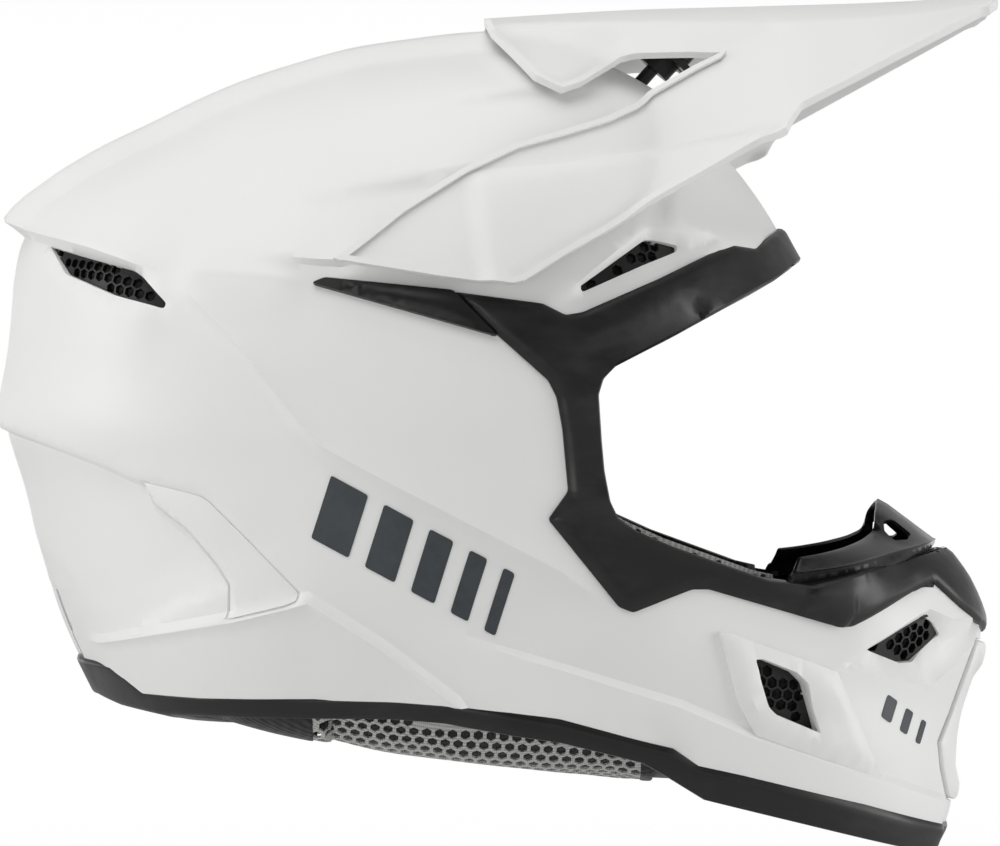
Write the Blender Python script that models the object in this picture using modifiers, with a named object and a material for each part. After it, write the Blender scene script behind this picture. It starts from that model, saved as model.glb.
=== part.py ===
"""Motocross helmet, worn upright, facing +X with its left side at +Y.

The origin is where the top of the wearer's head touches the crown pad, on the plane of symmetry.
Every shell-like piece is a layer of one skin: a closed egg whose outline in the plane of symmetry is
SILHOUETTE and whose half width falls from HALF_WIDTH at the ears to nothing at that outline. A layer lies
between two offsets of the skin and is trimmed by outlines drawn in side view. Lengths here are millimetres,
and MM turns them into Blender's metres.
"""

import math

import bmesh
import bpy
import numpy as np
from mathutils import Matrix, Vector

MM = 0.001

# The skin
CENTRE = (0.0, -95.0)  # X and Z of the lateral axis that the skin is drawn around
HALF_WIDTH = 122.0
SILHOUETTE = [  # X, Z of the skin in the plane of symmetry, from the brow down the front and round
    (148, -30), (175, -70), (203, -115), (217, -150), (219, -166), (208, -202), (205, -240),
    (185, -262), (140, -280), (70, -285), (0, -275), (-60, -250), (-95, -215), (-113, -184),
    (-124, -160), (-131, -137), (-138, -115), (-147, -91), (-143, -62), (-141, -38), (-139, -20),
    (-126, -5), (-108, 7), (-89, 16), (-71, 25), (-52, 33), (-33, 39), (-15, 44), (5, 47), (33, 50),
    (58, 49), (76, 44), (91, 37), (104, 28), (117, 15), (129, 1), (140, -15),
]
SIDE_POWER = 2.2  # how full the skin's cross-section is
BACK_POWER, CHIN_POWER = 2.25, 1.7  # the same along the silhouette, blunt behind and pointed at the chin
RIDGE_HALF_WIDTH, RIDGE_FLANK = 26.0, 5.0
RIDGE_HEIGHT_FRONT, RIDGE_HEIGHT_BACK = 4.0, 6.0
RIDGE_START, RIDGE_END = 78.0, 152.0  # degrees round the lateral axis, from +X towards +Z
TURNS, FOAM_TURNS = 40, 28  # steps round the lateral axis, for the shell and for what is inside it
RINGS = [0, 9.9, 12.3, 21, 31, 41, 52, 64, 77, 90]  # degrees from the plane of symmetry to the ear
GAP = 0.3  # between pieces that touch

# Depths of the layers, as offsets of the skin
SHELL_IN = -4.0
FOAM_OUT = SHELL_IN - 1.2  # the coarser facets need a little more room
FOAM_IN = -36.0
CHIN_FOAM_IN = -24.0
PAD_OUT, PAD_IN = FOAM_IN - GAP, -46.6
CHEEK_PAD_IN = -56.0
ROLL_OUT, ROLL_IN = -9.0, -34.0
TRIM_IN, TRIM_OUT = GAP, 2.6
PORT_FLANGE_IN, PORT_FLANGE_OUT = -16.0, 1.2
PORT_FLANGE = 5.0  # how far the flange reaches from the port's edge into the shell's thickness
RIM_IN, RIM_OUT = -8.0, 0.8
PANEL_OUT = 2.0
BEZEL_OUT = 3.5
COVER_OUT = 3.6
GRILLE_IN, GRILLE_OUT = -2.6, -0.8

# Outlines in side view, X and Z
PORT = [
    (172, -13), (139, -37), (128, -43), (103, -57), (80, -69), (75, -74), (73, -80), (74, -96),
    (75, -107), (77, -118), (80, -124), (87, -129), (101, -135), (118, -141), (135, -147), (150, -149),
    (163, -146), (203, -136), (262, -122), (262, 20),
]
TRIM_OUTER = [
    (160, -2), (140, -20), (130, -27), (122, -26), (113, -30), (95, -39), (68, -51), (62, -52),
    (54, -48), (23, -44), (38, -59), (56, -75), (59, -81), (61, -92), (63, -114), (56, -124),
    (81, -155), (86, -157), (107, -149), (113, -149), (160, -163), (165, -163), (198, -147),
    (205, -148), (219, -168), (270, -168), (270, 20),
]
SHELL_BOTTOM = [
    (-170, -173), (-113, -177), (-101, -178), (-95, -182), (-89, -187), (-68, -188), (18, -188),
    (39, -190), (60, -194), (89, -202), (100, -205), (109, -211), (125, -215), (147, -221),
    (169, -227), (206, -239), (260, -255),
]
TRIM_BOTTOM = [
    (-170, -187), (-108, -189), (-98, -192), (-83, -194.5), (18, -194.5), (39, -197), (60, -200.5),
    (89, -208), (98, -213), (111, -221), (147, -231), (204, -247), (260, -262),
]
FLOOR_Z = -340.0  # below everything that a bottom outline cuts away

SIDES = {"right": -1, "left": 1}


def smooth_step(start, end, value):
    """0 at start, 1 at end, with level ends."""
    share = min(max((value - start) / (end - start), 0.0), 1.0)
    return share * share * (3 - 2 * share)


def silhouette_radius(angle):
    """Distance from CENTRE to the silhouette at an angle in radians, by a smooth curve through its points."""
    around = 2 * math.pi
    offsets = np.array(SILHOUETTE) - CENTRE
    angles = np.arctan2(offsets[:, 1], offsets[:, 0])
    order = np.argsort(angles)
    angles = angles[order]
    radii = np.hypot(*offsets[order].T)
    angles = np.concatenate([angles - around, angles, angles + around])
    radii = np.tile(radii, 3)
    slopes = np.gradient(radii, angles)
    i = int(np.searchsorted(angles, angle)) - 1
    step = angles[i + 1] - angles[i]
    u = (angle - angles[i]) / step
    return (
        (2 * u**3 - 3 * u**2 + 1) * radii[i]
        + (u**3 - 2 * u**2 + u) * step * slopes[i]
        + (3 * u**2 - 2 * u**3) * radii[i + 1]
        + (u**3 - u**2) * step * slopes[i + 1]
    )


def outline_power(angle):
    degrees = math.degrees(angle)
    chin = smooth_step(25, -15, degrees) * smooth_step(-90, -50, degrees)
    return BACK_POWER + (CHIN_POWER - BACK_POWER) * chin


def half_width_at(x, z, offset=0.0):
    """The skin's half width at a point in side view, or 0 outside it."""
    dx, dz = x - CENTRE[0], z - CENTRE[1]
    angle = math.atan2(dz, dx)
    share = math.hypot(dx, dz) / (silhouette_radius(angle) + offset)
    if share >= 1:
        return 0.0
    return (HALF_WIDTH + offset) * (1 - share ** outline_power(angle)) ** (1 / SIDE_POWER)


def skin_point(angle, ring, offset):
    """A point of the skin, at an angle round the lateral axis and a ring angle from the plane of symmetry."""
    share = math.cos(ring)
    y = (HALF_WIDTH + offset) * max(1 - share ** outline_power(angle), 0.0) ** (1 / SIDE_POWER)
    radius = share * (silhouette_radius(angle) + offset)
    degrees = math.degrees(angle) % 360
    if offset > -1 and RIDGE_START < degrees < RIDGE_END:
        back = (degrees - RIDGE_START) / (RIDGE_END - RIDGE_START)
        height = RIDGE_HEIGHT_FRONT + (RIDGE_HEIGHT_BACK - RIDGE_HEIGHT_FRONT) * back
        radius += height * smooth_step(RIDGE_HALF_WIDTH + RIDGE_FLANK, RIDGE_HALF_WIDTH, y)
    y = math.copysign(y, ring)
    return Vector((CENTRE[0] + radius * math.cos(angle), y, CENTRE[1] + radius * math.sin(angle))) * MM


def collection(name):
    made = bpy.data.collections.new(name)
    bpy.context.scene.collection.children.link(made)
    return made


def material(name, colour, roughness, metallic=0.0):
    made = bpy.data.materials.new(name)
    made.use_nodes = True
    shader = made.node_tree.nodes["Principled BSDF"]
    shader.inputs["Base Color"].default_value = (*colour, 1)
    shader.inputs["Roughness"].default_value = roughness
    shader.inputs["Metallic"].default_value = metallic
    return made


def object_from(bm, name, home, finish=None):
    mesh = bpy.data.meshes.new(name)
    bmesh.ops.recalc_face_normals(bm, faces=bm.faces)
    bm.to_mesh(mesh)
    bm.free()
    made = bpy.data.objects.new(name, mesh)
    home.objects.link(made)
    if finish:
        mesh.materials.append(finish)
        mesh.shade_smooth()
        mesh.set_sharp_from_angle(angle=math.radians(35))
    else:
        made.hide_render = True
        made.display_type = "WIRE"
    return made


def skin(name, offset, home, finish=None, turns=TURNS):
    """The whole skin at an offset, from a UV sphere with its poles at the ears."""
    bm = bmesh.new()
    bmesh.ops.create_uvsphere(bm, u_segments=turns, v_segments=2 * (len(RINGS) - 1), radius=1)
    step = math.pi / 2 / (len(RINGS) - 1)
    for vert in bm.verts:
        latitude = math.asin(max(-1.0, min(1.0, vert.co.z)))
        ring = math.copysign(math.radians(RINGS[round(abs(latitude) / step)]), -latitude)
        vert.co = skin_point(math.atan2(vert.co.y, vert.co.x), ring, offset)
    return object_from(bm, name, home, finish)


def prism(name, outline, low_y, high_y, home, finish=None):
    """A side-view outline drawn through the helmet from low_y to high_y."""
    bm = bmesh.new()
    face = bm.faces.new([bm.verts.new((x * MM, low_y * MM, z * MM)) for x, z in outline])
    grown = bmesh.ops.extrude_face_region(bm, geom=[face])
    rise = [item for item in grown["geom"] if isinstance(item, bmesh.types.BMVert)]
    bmesh.ops.translate(bm, verts=rise, vec=(0, (high_y - low_y) * MM, 0))
    return object_from(bm, name, home, finish)


def boolean(target, operation, other):
    modifier = target.modifiers.new(f"{operation.lower()} {other.name}", "BOOLEAN")
    modifier.operation = operation
    modifier.object = other
    modifier.solver = "EXACT"


def grown(outline, distance):
    """The outline moved outwards by a distance, each corner along its bisector."""
    points = [Vector(p) for p in outline]
    area = sum(a.x * b.y - b.x * a.y for a, b in zip(points, points[1:] + points[:1]))
    turn = 1 if area > 0 else -1
    moved = []
    for before, here, after in zip(points[-1:] + points[:-1], points, points[1:] + points[:1]):
        ins, outs = (here - before).normalized(), (after - here).normalized()
        normal = Vector((ins.y + outs.y, -ins.x - outs.x)).normalized() * turn
        lean = max(normal.dot(Vector((ins.y, -ins.x))) * turn, 0.5)
        moved.append(tuple(here + normal * distance / lean))
    return moved


class Layer:
    """A piece of the skin's thickness between two offsets, trimmed by side-view outlines."""

    def __init__(self, name, outer, inner, home, finish=None, turns=TURNS):
        self.object = skin(name, outer, home, finish, turns)
        self.name = name
        self.count = 0
        boolean(self.object, "DIFFERENCE", skin(f"{name} inside", inner, CUTTERS, turns=turns))

    def trim(self, operation, outline, low_y=-200, high_y=200):
        self.count += 1
        cutter = prism(f"{self.name} cut {self.count}", outline, low_y, high_y, CUTTERS)
        boolean(self.object, operation, cutter)
        return self

    def keep(self, outline, low_y=-200, high_y=200):
        return self.trim("INTERSECT", outline, low_y, high_y)

    def cut(self, outline, low_y=-200, high_y=200):
        return self.trim("DIFFERENCE", outline, low_y, high_y)

    def add(self, other):
        boolean(self.object, "UNION", other.object)
        return self


def on_side(side, near, far):
    """The lower and higher Y of a span from near to far, measured from the plane of symmetry."""
    return sorted((side * near, side * far))


def below(edge):
    """The outline of everything below an edge that runs from back to front."""
    return [*edge, (edge[-1][0], FLOOR_Z), (edge[0][0], FLOOR_Z)]


def cylinder(name, start, end, radius, home, finish=None, sides=20):
    """A cylinder between two points."""
    start, end, radius = Vector(start) * MM, Vector(end) * MM, radius * MM
    length = (end - start).length
    bm = bmesh.new()
    bmesh.ops.create_cone(bm, cap_ends=True, segments=sides, radius1=radius, radius2=radius, depth=length)
    turn = (end - start).to_track_quat("Z", "Y").to_matrix().to_4x4()
    bmesh.ops.transform(bm, matrix=Matrix.Translation((start + end) / 2) @ turn, verts=bm.verts)
    return object_from(bm, name, home, finish)


def lateral(name, side, near, far, radius, home, finish=None, at=None):
    """A cylinder along Y on one side, on the peak's axis unless it is placed elsewhere."""
    x, z = at or PIVOT
    return cylinder(name, (x, side * near, z), (x, side * far, z), radius, home, finish)


def bore(target, side, near, far, radius):
    hole = lateral(f"{target.name} bore {side} {radius:.1f}", side, near, far, radius, CUTTERS)
    boolean(target, "DIFFERENCE", hole)


def sheet(name, rows, thickness, home, finish=None):
    """A loft through rows of points, given a thickness below its upper side."""
    bm = bmesh.new()
    lines = [[bm.verts.new(Vector(p) * MM) for p in row] for row in rows]
    for line, following in zip(lines, lines[1:]):
        for a, b, c, d in zip(line, line[1:], following[1:], following):
            bm.faces.new((a, b, c, d))
    bm.normal_update()
    if sum(face.normal.z * face.calc_area() for face in bm.faces) < 0:
        bmesh.ops.reverse_faces(bm, faces=bm.faces)
    mesh = bpy.data.meshes.new(name)
    bm.to_mesh(mesh)
    bm.free()
    made = bpy.data.objects.new(name, mesh)
    home.objects.link(made)
    if finish:
        mesh.materials.append(finish)
    else:
        made.hide_render = True
        made.display_type = "WIRE"
    solid = made.modifiers.new("thickness", "SOLIDIFY")
    solid.thickness = thickness * MM
    solid.offset = -1
    solid.use_even_offset = True
    return made


def read_curve(curve, x):
    """Each value of a curve of (x, value, ...) points at x, by straight lines between the points."""
    places = [point[0] for point in curve]
    return [float(np.interp(x, places, column)) for column in list(zip(*curve))[1:]]


def rectangle(low_x, low_z, high_x, high_z):
    return [(low_x, low_z), (high_x, low_z), (high_x, high_z), (low_x, high_z)]


# Vents, X and Z in side view, from |Y| = near outwards
BROW_VENT = [(69, -43), (68, -41), (75, -36), (92, -24), (95, -24), (103, -26), (103, -28), (92, -33)]
REAR_VENT = [(-126, -25), (-93, -34), (-89, -37), (-80, -47), (-81, -49), (-100, -44), (-119, -36)]
EXHAUST_VENT = [(-131, -150), (-121, -150), (-110, -170), (-126, -172)]
CHIN_VENT = [(129, -174), (132, -174), (144, -179), (148, -183), (153, -201), (137, -194), (134, -191)]
UPPER_CHIN_VENT = [(172, -172), (196, -161), (199, -163), (202, -168), (189, -177), (184, -177)]
VENTS = {  # outline, and how far from the plane of symmetry it starts
    "brow_vent_grille": (BROW_VENT, 60),
    "rear_vent_grille": (REAR_VENT, 30),
    "exhaust_vent_grille": (EXHAUST_VENT, 8),
    "chin_vent_grille": (CHIN_VENT, 50),
    "upper_chin_vent_grille": (UPPER_CHIN_VENT, 20),
}
VENT_STEP = 1.0  # ledge round each vent that its grille drops into
MOUTH_HALF_WIDTH = 20.0
MOUTH = rectangle(180, -219, 260, -184)
MOUTHPIECE_HALF_WIDTH = 46.0
MOUTHPIECE = [(211, -171), (240, -171), (240, -228), (202, -228), (197.5, -199)]
MOUTHPIECE_OUT = 2.4

# Surface panels, X and Z in side view
CHIN_BEZEL = [(117, -164), (121, -165), (159, -179), (176, -218), (130, -201), (124, -190)]
SIDE_COVER = [(-25, -41.5), (-21, -39.8), (21, -44.6), (37, -59)]
REAR_PANEL = [
    (-88, -111), (-67, -116), (-64, -118), (-32, -149.5), (-32, -152), (-37, -154), (-56, -158.5),
    (-56, -147), (-60, -141), (-71, -128), (-83, -119),
]

# The lines where the foam parts meet
FOAM_BOTTOM = [
    (-170, -170), (-100, -172), (-90, -178), (50, -178), (95, -193), (150, -211), (206, -229), (260, -245),
]
CHIN_FOAM = [(66, -122), (57, -260), (260, -260), (260, -122)]

# The peak, which tilts about a lateral axis through its side screws
PIVOT = (16.0, -47.0)
PEAK_THICKNESS = 2.2
PEAK_CLEARANCE = [  # X, how far the peak stands off the skin at its middle band and at its lower edge
    (-20, 5.5, 6.8), (20, 3.8, 6.8), (60, 3.8, 6.8), (110, 5, 8),
]
PEAK_TOP = [(30, 57.8), (45, 58.8), (87, 61.3), (134, 62.7), (190, 64.6), (218, 66.6), (224, 67)]  # X, Z
PEAK_BAND = [  # X, |Y| and Z of the middle band's edge
    (30, 32, 53.8), (60, 32, 54.6), (90, 31, 55), (138, 31, 55), (200, 27, 59.5), (224, 22, 63.6)
]
PEAK_EDGE = [  # X, |Y| and Z of the lower edge
    (-20, 114, -32), (46, 116, -37.5), (51, 115, -37), (60, 112, -31), (88, 103, -16), (125, 92, 1.6),
    (135, 88, 8.5), (141, 85.5, 12), (146, 84, 19), (197, 57, 45.3), (216, 41, 57.2), (224, 36, 60),
]
PEAK_BOW = [(170, 0), (224, 6)]  # X, how far the rib's ends lie behind its middle
PEAK_RIBS = [-18, 0, 20, 40, 51, 60, 74, 88, 105, 125, 135, 141, 146, 170, 197, 216, 224]
PEAK_LEVELS = 8
PEAK_NOTCH = [  # the opening between the middle spine and the side wings
    (-40, -36), (-18, -34), (-16, -32), (4, -16), (26, -2), (44, 7), (61, 12), (76, 17), (86, 22), (91, 26),
    (120, 43), (87, 42), (83, 41), (68, 31), (61, 28.5), (51, 32.6), (36, 49.8), (33.5, 56), (33.5, 80),
    (-40, 80),
]
TAB_Y = (116.2, 117.8)  # the flat tab that the side screw clamps
TAB_RADIUS = 4.9
SCREW_RADIUS, SCREW_HEAD_RADIUS = 2.0, 3.6
BRACKET_RADII = (126.0, 128.6)  # the curved plate under the peak, about the pivot
BRACKET_ANGLES = (34.0, 54.0)
SLOT_ANGLES = (36.5, 51.0)
BRACKET_HALF_WIDTH = 16.0
BRACKET_WEB_THICKNESS = 3.0
BRACKET_WEB_FEET = (53.0, 44.0)  # degrees about the pivot, where the side webs stand on the plate
BRACKET_WEB_TOP = [(93, 57.0), (104, 57.2)]  # X and Z, where they meet the peak
SLOT_HALF_WIDTH = 3.4
THUMB_ANGLE = 48.0
THUMB_STEM_RADIUS = 2.6
THUMB_STEM_START = 112.0  # its inner end's distance from the pivot
THUMB_HEAD_RADIUS, THUMB_HEAD_HEIGHT = 9.0, 6.0
BOSS_RADIUS, BOSS_START = 7.0, 119.2  # the boss on the shell that the stem screws into

# The shield over the nose, X, |Y| and Z of its lower and upper edges
NOSE_GUARD_LOWER = [
    (141, 84, -146.4), (162, 76, -144.6), (175, 67, -141.4), (188, 50, -138.2), (197, 28, -136),
    (199, 0, -135.5),
]
NOSE_GUARD_UPPER = [
    (143, 80, -141), (147, 78, -138), (166, 60, -133), (174, 42, -129), (179, 20, -119), (181, 0, -117.5),
]
NOSE_GUARD_THICKNESS = 2.0

# The pads, X and Z in side view
CROWN_PAD = rectangle(-58, 0, 52, 60)
BROW_PAD = rectangle(56, -52, 140, 22)
REAR_PAD = rectangle(-140, -135, -64, -8)
SIDE_PAD = rectangle(-60, -92, 52, -6)
CHEEK_PAD = [(24, -106), (60, -112), (70, -134), (112, -152), (112, -218), (24, -200)]
CHEEK_FRONT = [(66.6, -134), (112, -152), (112, -218), (60, -204)]  # over the chin bar's foam
CHEEK_LOWER = [  # the roll under the foam
    (-37, -181), (50, -181), (70, -188), (110, -203), (112, -221), (76, -215), (-24, -203), (-37, -199),
]
NECK_ROLL = [(-113, -184), (-38, -181), (-38, -200), (-62, -197), (-96, -195), (-113, -192)]
CHEEK_SPAN = (20, 120)  # |Y| from near to far
SNAP_PLACES = [(40, -125), (52, -165)]
SNAP_RADIUS = 5.0

# The chin strap, worn closed
STRAP_X = 8.0
STRAP_EXIT = (60.0, -186.0)  # |Y| and Z where the webbing leaves the cheek pads
STRAP_SAG = 18.0
WEBBING = (24.0, 1.6)  # width and thickness
RISER = [(77, -152), (69, -172), (62.4, -183.0)]  # |Y| and Z of the webbing inside the cheek pads
HANGER_Z, HANGER_RADIUS = -138.0, 11.0
RING_Y = 38.0
RING_DROP = 3.8  # from one ring to the other
RING_RADIUS, RING_HEIGHT, RING_STRETCH = 7.0, 3.2, 2.35
RING_SLOT_HALF_LENGTH = 12.4
SNAP_BUTTON = (12.0, -210.6, -208.3)  # Y, and Z of its two ends


def build_materials():
    return {
        "white": material("matte white shell", (0.78, 0.78, 0.77), 0.45),
        "black": material("satin black trim", (0.025, 0.025, 0.027), 0.4),
        "foam": material("dark grey foam", (0.08, 0.08, 0.085), 0.9),
        "fabric": material("silver mesh fabric", (0.4, 0.4, 0.39), 0.85),
        "webbing": material("black webbing", (0.02, 0.02, 0.02), 0.8),
        "steel": material("steel", (0.6, 0.6, 0.62), 0.3, 1.0),
    }


def build_shell():
    shell = Layer("outer_shell", 0, SHELL_IN, PARTS, FINISH["white"])
    shell.cut(grown(PORT, PORT_FLANGE + GAP)).cut(below(SHELL_BOTTOM))
    for outline, near in VENTS.values():
        for side in SIDES.values():
            shell.cut(grown(outline, GAP), *on_side(side, near, 200))
    shell.cut(MOUTH, -MOUTH_HALF_WIDTH, MOUTH_HALF_WIDTH)
    for side in SIDES.values():
        bore(shell.object, side, TAB_Y[0] - GAP, 200, TAB_RADIUS + 2 * GAP)
        bore(shell.object, side, 90, 200, SCREW_RADIUS + GAP)


def build_foam():
    liner = Layer("eps_liner", FOAM_OUT, FOAM_IN, PARTS, FINISH["foam"], FOAM_TURNS)
    liner.cut(grown(PORT, PORT_FLANGE + GAP)).cut(below(FOAM_BOTTOM)).cut(grown(CHIN_FOAM, GAP))
    chin = Layer("chin_bar_foam", FOAM_OUT, CHIN_FOAM_IN, PARTS, FINISH["foam"])
    chin.keep(CHIN_FOAM).cut(grown(PORT, PORT_FLANGE + GAP)).cut(below(FOAM_BOTTOM))
    chin.cut(MOUTH, -MOUTH_HALF_WIDTH, MOUTH_HALF_WIDTH)
    for name, (outline, near) in VENTS.items():
        foam = chin if "chin" in name else liner
        for side in SIDES.values():
            foam.cut(grown(outline, VENT_STEP), *on_side(side, near, 200))
    for side in SIDES.values():
        bore(liner.object, side, 90, 200, SCREW_RADIUS + GAP)


def build_trims():
    flange = Layer("port flange", PORT_FLANGE_OUT, PORT_FLANGE_IN, CUTTERS)
    flange.keep(grown(PORT, PORT_FLANGE))
    trim = Layer("eyeport_trim", TRIM_OUT, TRIM_IN, PARTS, FINISH["black"])
    trim.keep(TRIM_OUTER).add(flange).cut(PORT)
    rim = Layer("bottom_edge_trim", RIM_OUT, RIM_IN, PARTS, FINISH["black"])
    rim.keep(below([(x, z - GAP) for x, z in SHELL_BOTTOM])).cut(below(TRIM_BOTTOM))


def build_vents():
    for name, (outline, near) in VENTS.items():
        for label, side in SIDES.items():
            grille = Layer(f"{name}_{label}", GRILLE_OUT, GRILLE_IN, PARTS, FINISH["black"])
            grille.keep(outline, *on_side(side, near + GAP, 190))
    for label, side in SIDES.items():
        span = on_side(side, 45, 200)
        bezel = Layer(f"chin_vent_bezel_{label}", BEZEL_OUT, TRIM_IN, PARTS, FINISH["white"])
        bezel.keep(CHIN_BEZEL, *span).cut(grown(CHIN_VENT, -GAP), *span)
        panel = Layer(f"rear_side_panel_{label}", PANEL_OUT, TRIM_IN, PARTS, FINISH["white"])
        panel.keep(REAR_PANEL, *span)
    mouthpiece = Layer("mouthpiece", MOUTHPIECE_OUT, TRIM_IN, PARTS, FINISH["white"])
    mouthpiece.keep(MOUTHPIECE, -MOUTHPIECE_HALF_WIDTH, MOUTHPIECE_HALF_WIDTH)
    mouthpiece.cut(grown(MOUTH, -2), 2 - MOUTH_HALF_WIDTH, MOUTH_HALF_WIDTH - 2)
    within = MOUTH_HALF_WIDTH - GAP
    grille = Layer("mouth_grille", -0.5, -2.5, PARTS, FINISH["black"])
    grille.keep(grown(MOUTH, -GAP), -within, within)
    filter_foam = Layer("mouth_filter", -8, -14, PARTS, FINISH["foam"])
    filter_foam.keep(grown(MOUTH, -GAP), -within, within)


def build_nose_guard():
    """A curved shield that rises from the lower edge of the eye port to a peak over the nose."""
    rows = [row + [(x, -y, z) for x, y, z in row[-2::-1]] for row in (NOSE_GUARD_LOWER, NOSE_GUARD_UPPER)]
    sheet("nose_guard", rows, NOSE_GUARD_THICKNESS, PARTS, FINISH["black"])


def peak_rib(x):
    """The peak's cross-section at x, from the plane of symmetry out to its lower edge."""
    (top,) = read_curve(PEAK_TOP, x)
    band_y, band_z = read_curve(PEAK_BAND, x)
    edge_y, edge_z = read_curve(PEAK_EDGE, x)
    upper, lower = read_curve(PEAK_CLEARANCE, x)
    points = [(x, 0, top), (x, band_y / 2, top - (top - band_z) * 0.3), (x, band_y, band_z)]
    for i in range(1, PEAK_LEVELS + 1):
        share = i / PEAK_LEVELS
        z = band_z + (edge_z - band_z) * share
        straight = band_y + (edge_y - band_y) * share
        hugging = half_width_at(x, z, upper + (lower - upper) * share**3)
        points.append((x, max(straight, hugging), z))
    (bow,) = read_curve(PEAK_BOW, x)
    points = [(x - bow * (y / edge_y) ** 2, y, z) for x, y, z in points]
    return [(x, -y, z) for x, y, z in points[:0:-1]] + points


def build_peak():
    peak = sheet("peak", [peak_rib(x) for x in PEAK_RIBS], PEAK_THICKNESS, PARTS, FINISH["white"])
    boolean(peak, "DIFFERENCE", prism("peak notch", PEAK_NOTCH, -200, 200, CUTTERS))
    x, z = PIVOT
    for label, side in SIDES.items():
        tab = prism(f"tab {label}", rectangle(x - 4.5, z, x + 4.5, z + 22), *on_side(side, *TAB_Y), CUTTERS)
        boolean(tab, "UNION", lateral(f"tab end {label}", side, *TAB_Y, TAB_RADIUS, CUTTERS))
        boolean(peak, "UNION", tab)
        bore(peak, side, TAB_Y[0] - 1, TAB_Y[1] + 1, SCREW_RADIUS + GAP)
        out = TAB_Y[1]
        name = f"peak_side_screw_{label}"
        screw = lateral(name, side, 100, out + 2 * GAP, SCREW_RADIUS, PARTS, FINISH["steel"])
        head = lateral(f"screw head {label}", side, out + GAP, out + 1.3, SCREW_HEAD_RADIUS, CUTTERS)
        boolean(screw, "UNION", head)
        cover = Layer(f"side_screw_cover_{label}", COVER_OUT, TRIM_IN, PARTS, FINISH["black"])
        cover.keep(SIDE_COVER, *on_side(side, 60, 200))
        bore(cover.object, side, 100, out + 1.8, SCREW_HEAD_RADIUS + 1.8)
        bore(cover.object, side, 100, out + GAP, 2 * TAB_RADIUS + 0.7)
    build_bracket()


def about_pivot(radius, degrees):
    angle = math.radians(degrees)
    return (PIVOT[0] + radius * math.cos(angle), PIVOT[1] + radius * math.sin(angle))


def arc_band(inner, outer, start, end, steps=8):
    """The side-view outline of a curved plate about the pivot."""
    angles = np.linspace(start, end, steps + 1)
    return [about_pivot(inner, a) for a in angles] + [about_pivot(outer, a) for a in angles[::-1]]


def build_bracket():
    """The slotted plate under the peak's middle, and the thumb screw that clamps it."""
    width = BRACKET_HALF_WIDTH
    inner, outer = BRACKET_RADII
    curve = arc_band(inner, outer, *BRACKET_ANGLES)
    plate = prism("peak_bracket", curve, -width, width, PARTS, FINISH["black"])
    slot = arc_band(inner - 2, outer + 2, *SLOT_ANGLES)
    boolean(plate, "DIFFERENCE", prism("slot", slot, -SLOT_HALF_WIDTH, SLOT_HALF_WIDTH, CUTTERS))
    foot_rear, foot_front = [about_pivot((inner + outer) / 2, angle) for angle in BRACKET_WEB_FEET]
    web = [foot_rear, *BRACKET_WEB_TOP, foot_front]
    for side in SIDES.values():
        span = on_side(side, width - BRACKET_WEB_THICKNESS, width)
        boolean(plate, "UNION", prism(f"web {side}", web, *span, CUTTERS))

    def along_thumb_screw(distance):
        x, z = about_pivot(distance, THUMB_ANGLE)
        return (x, 0, z)

    start, end = along_thumb_screw(THUMB_STEM_START), along_thumb_screw(outer + 1)
    screw = cylinder("peak_thumb_screw", start, end, THUMB_STEM_RADIUS, PARTS, FINISH["black"])
    start, end = along_thumb_screw(outer + GAP), along_thumb_screw(outer + THUMB_HEAD_HEIGHT)
    boolean(screw, "UNION", cylinder("thumb head", start, end, THUMB_HEAD_RADIUS, CUTTERS, sides=12))
    start, end = along_thumb_screw(BOSS_START), along_thumb_screw(inner - GAP)
    boss = cylinder("peak_screw_boss", start, end, BOSS_RADIUS, PARTS, FINISH["black"])
    start, end = along_thumb_screw(100), along_thumb_screw(140)
    for target in (boss, bpy.data.objects["outer_shell"], bpy.data.objects["eps_liner"]):
        hole = cylinder(f"thumb hole in {target.name}", start, end, THUMB_STEM_RADIUS + GAP, CUTTERS)
        boolean(target, "DIFFERENCE", hole)


def build_cheek_pad(label, side):
    """A cheek pad of three overlapping layers, and the snaps that hold it to the liner."""
    span = on_side(side, *CHEEK_SPAN)
    cheek = Layer(f"cheek_pad_{label}", PAD_OUT, CHEEK_PAD_IN, PARTS, FINISH["fabric"], FOAM_TURNS)
    front = Layer(f"cheek front {label}", CHIN_FOAM_IN - 1.5, -50, CUTTERS, turns=FOAM_TURNS)
    lower = Layer(f"cheek lower {label}", ROLL_OUT, ROLL_IN, CUTTERS, turns=FOAM_TURNS)
    cheek.keep(CHEEK_PAD, *span).add(front.keep(CHEEK_FRONT, *span)).add(lower.keep(CHEEK_LOWER, *span))
    for count, (x, z) in enumerate(SNAP_PLACES, start=1):
        y = half_width_at(x, z, FOAM_IN)
        name = f"cheek_pad_snap_{label}_{count}"
        lateral(name, side, y + 0.9, y + 4, SNAP_RADIUS, PARTS, FINISH["black"], (x, z))
        name = f"snap hole {label} {count}"
        hole = lateral(name, side, y - 3, y + 4.3, SNAP_RADIUS + GAP, CUTTERS, at=(x, z))
        boolean(bpy.data.objects["eps_liner"], "DIFFERENCE", hole)


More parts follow.
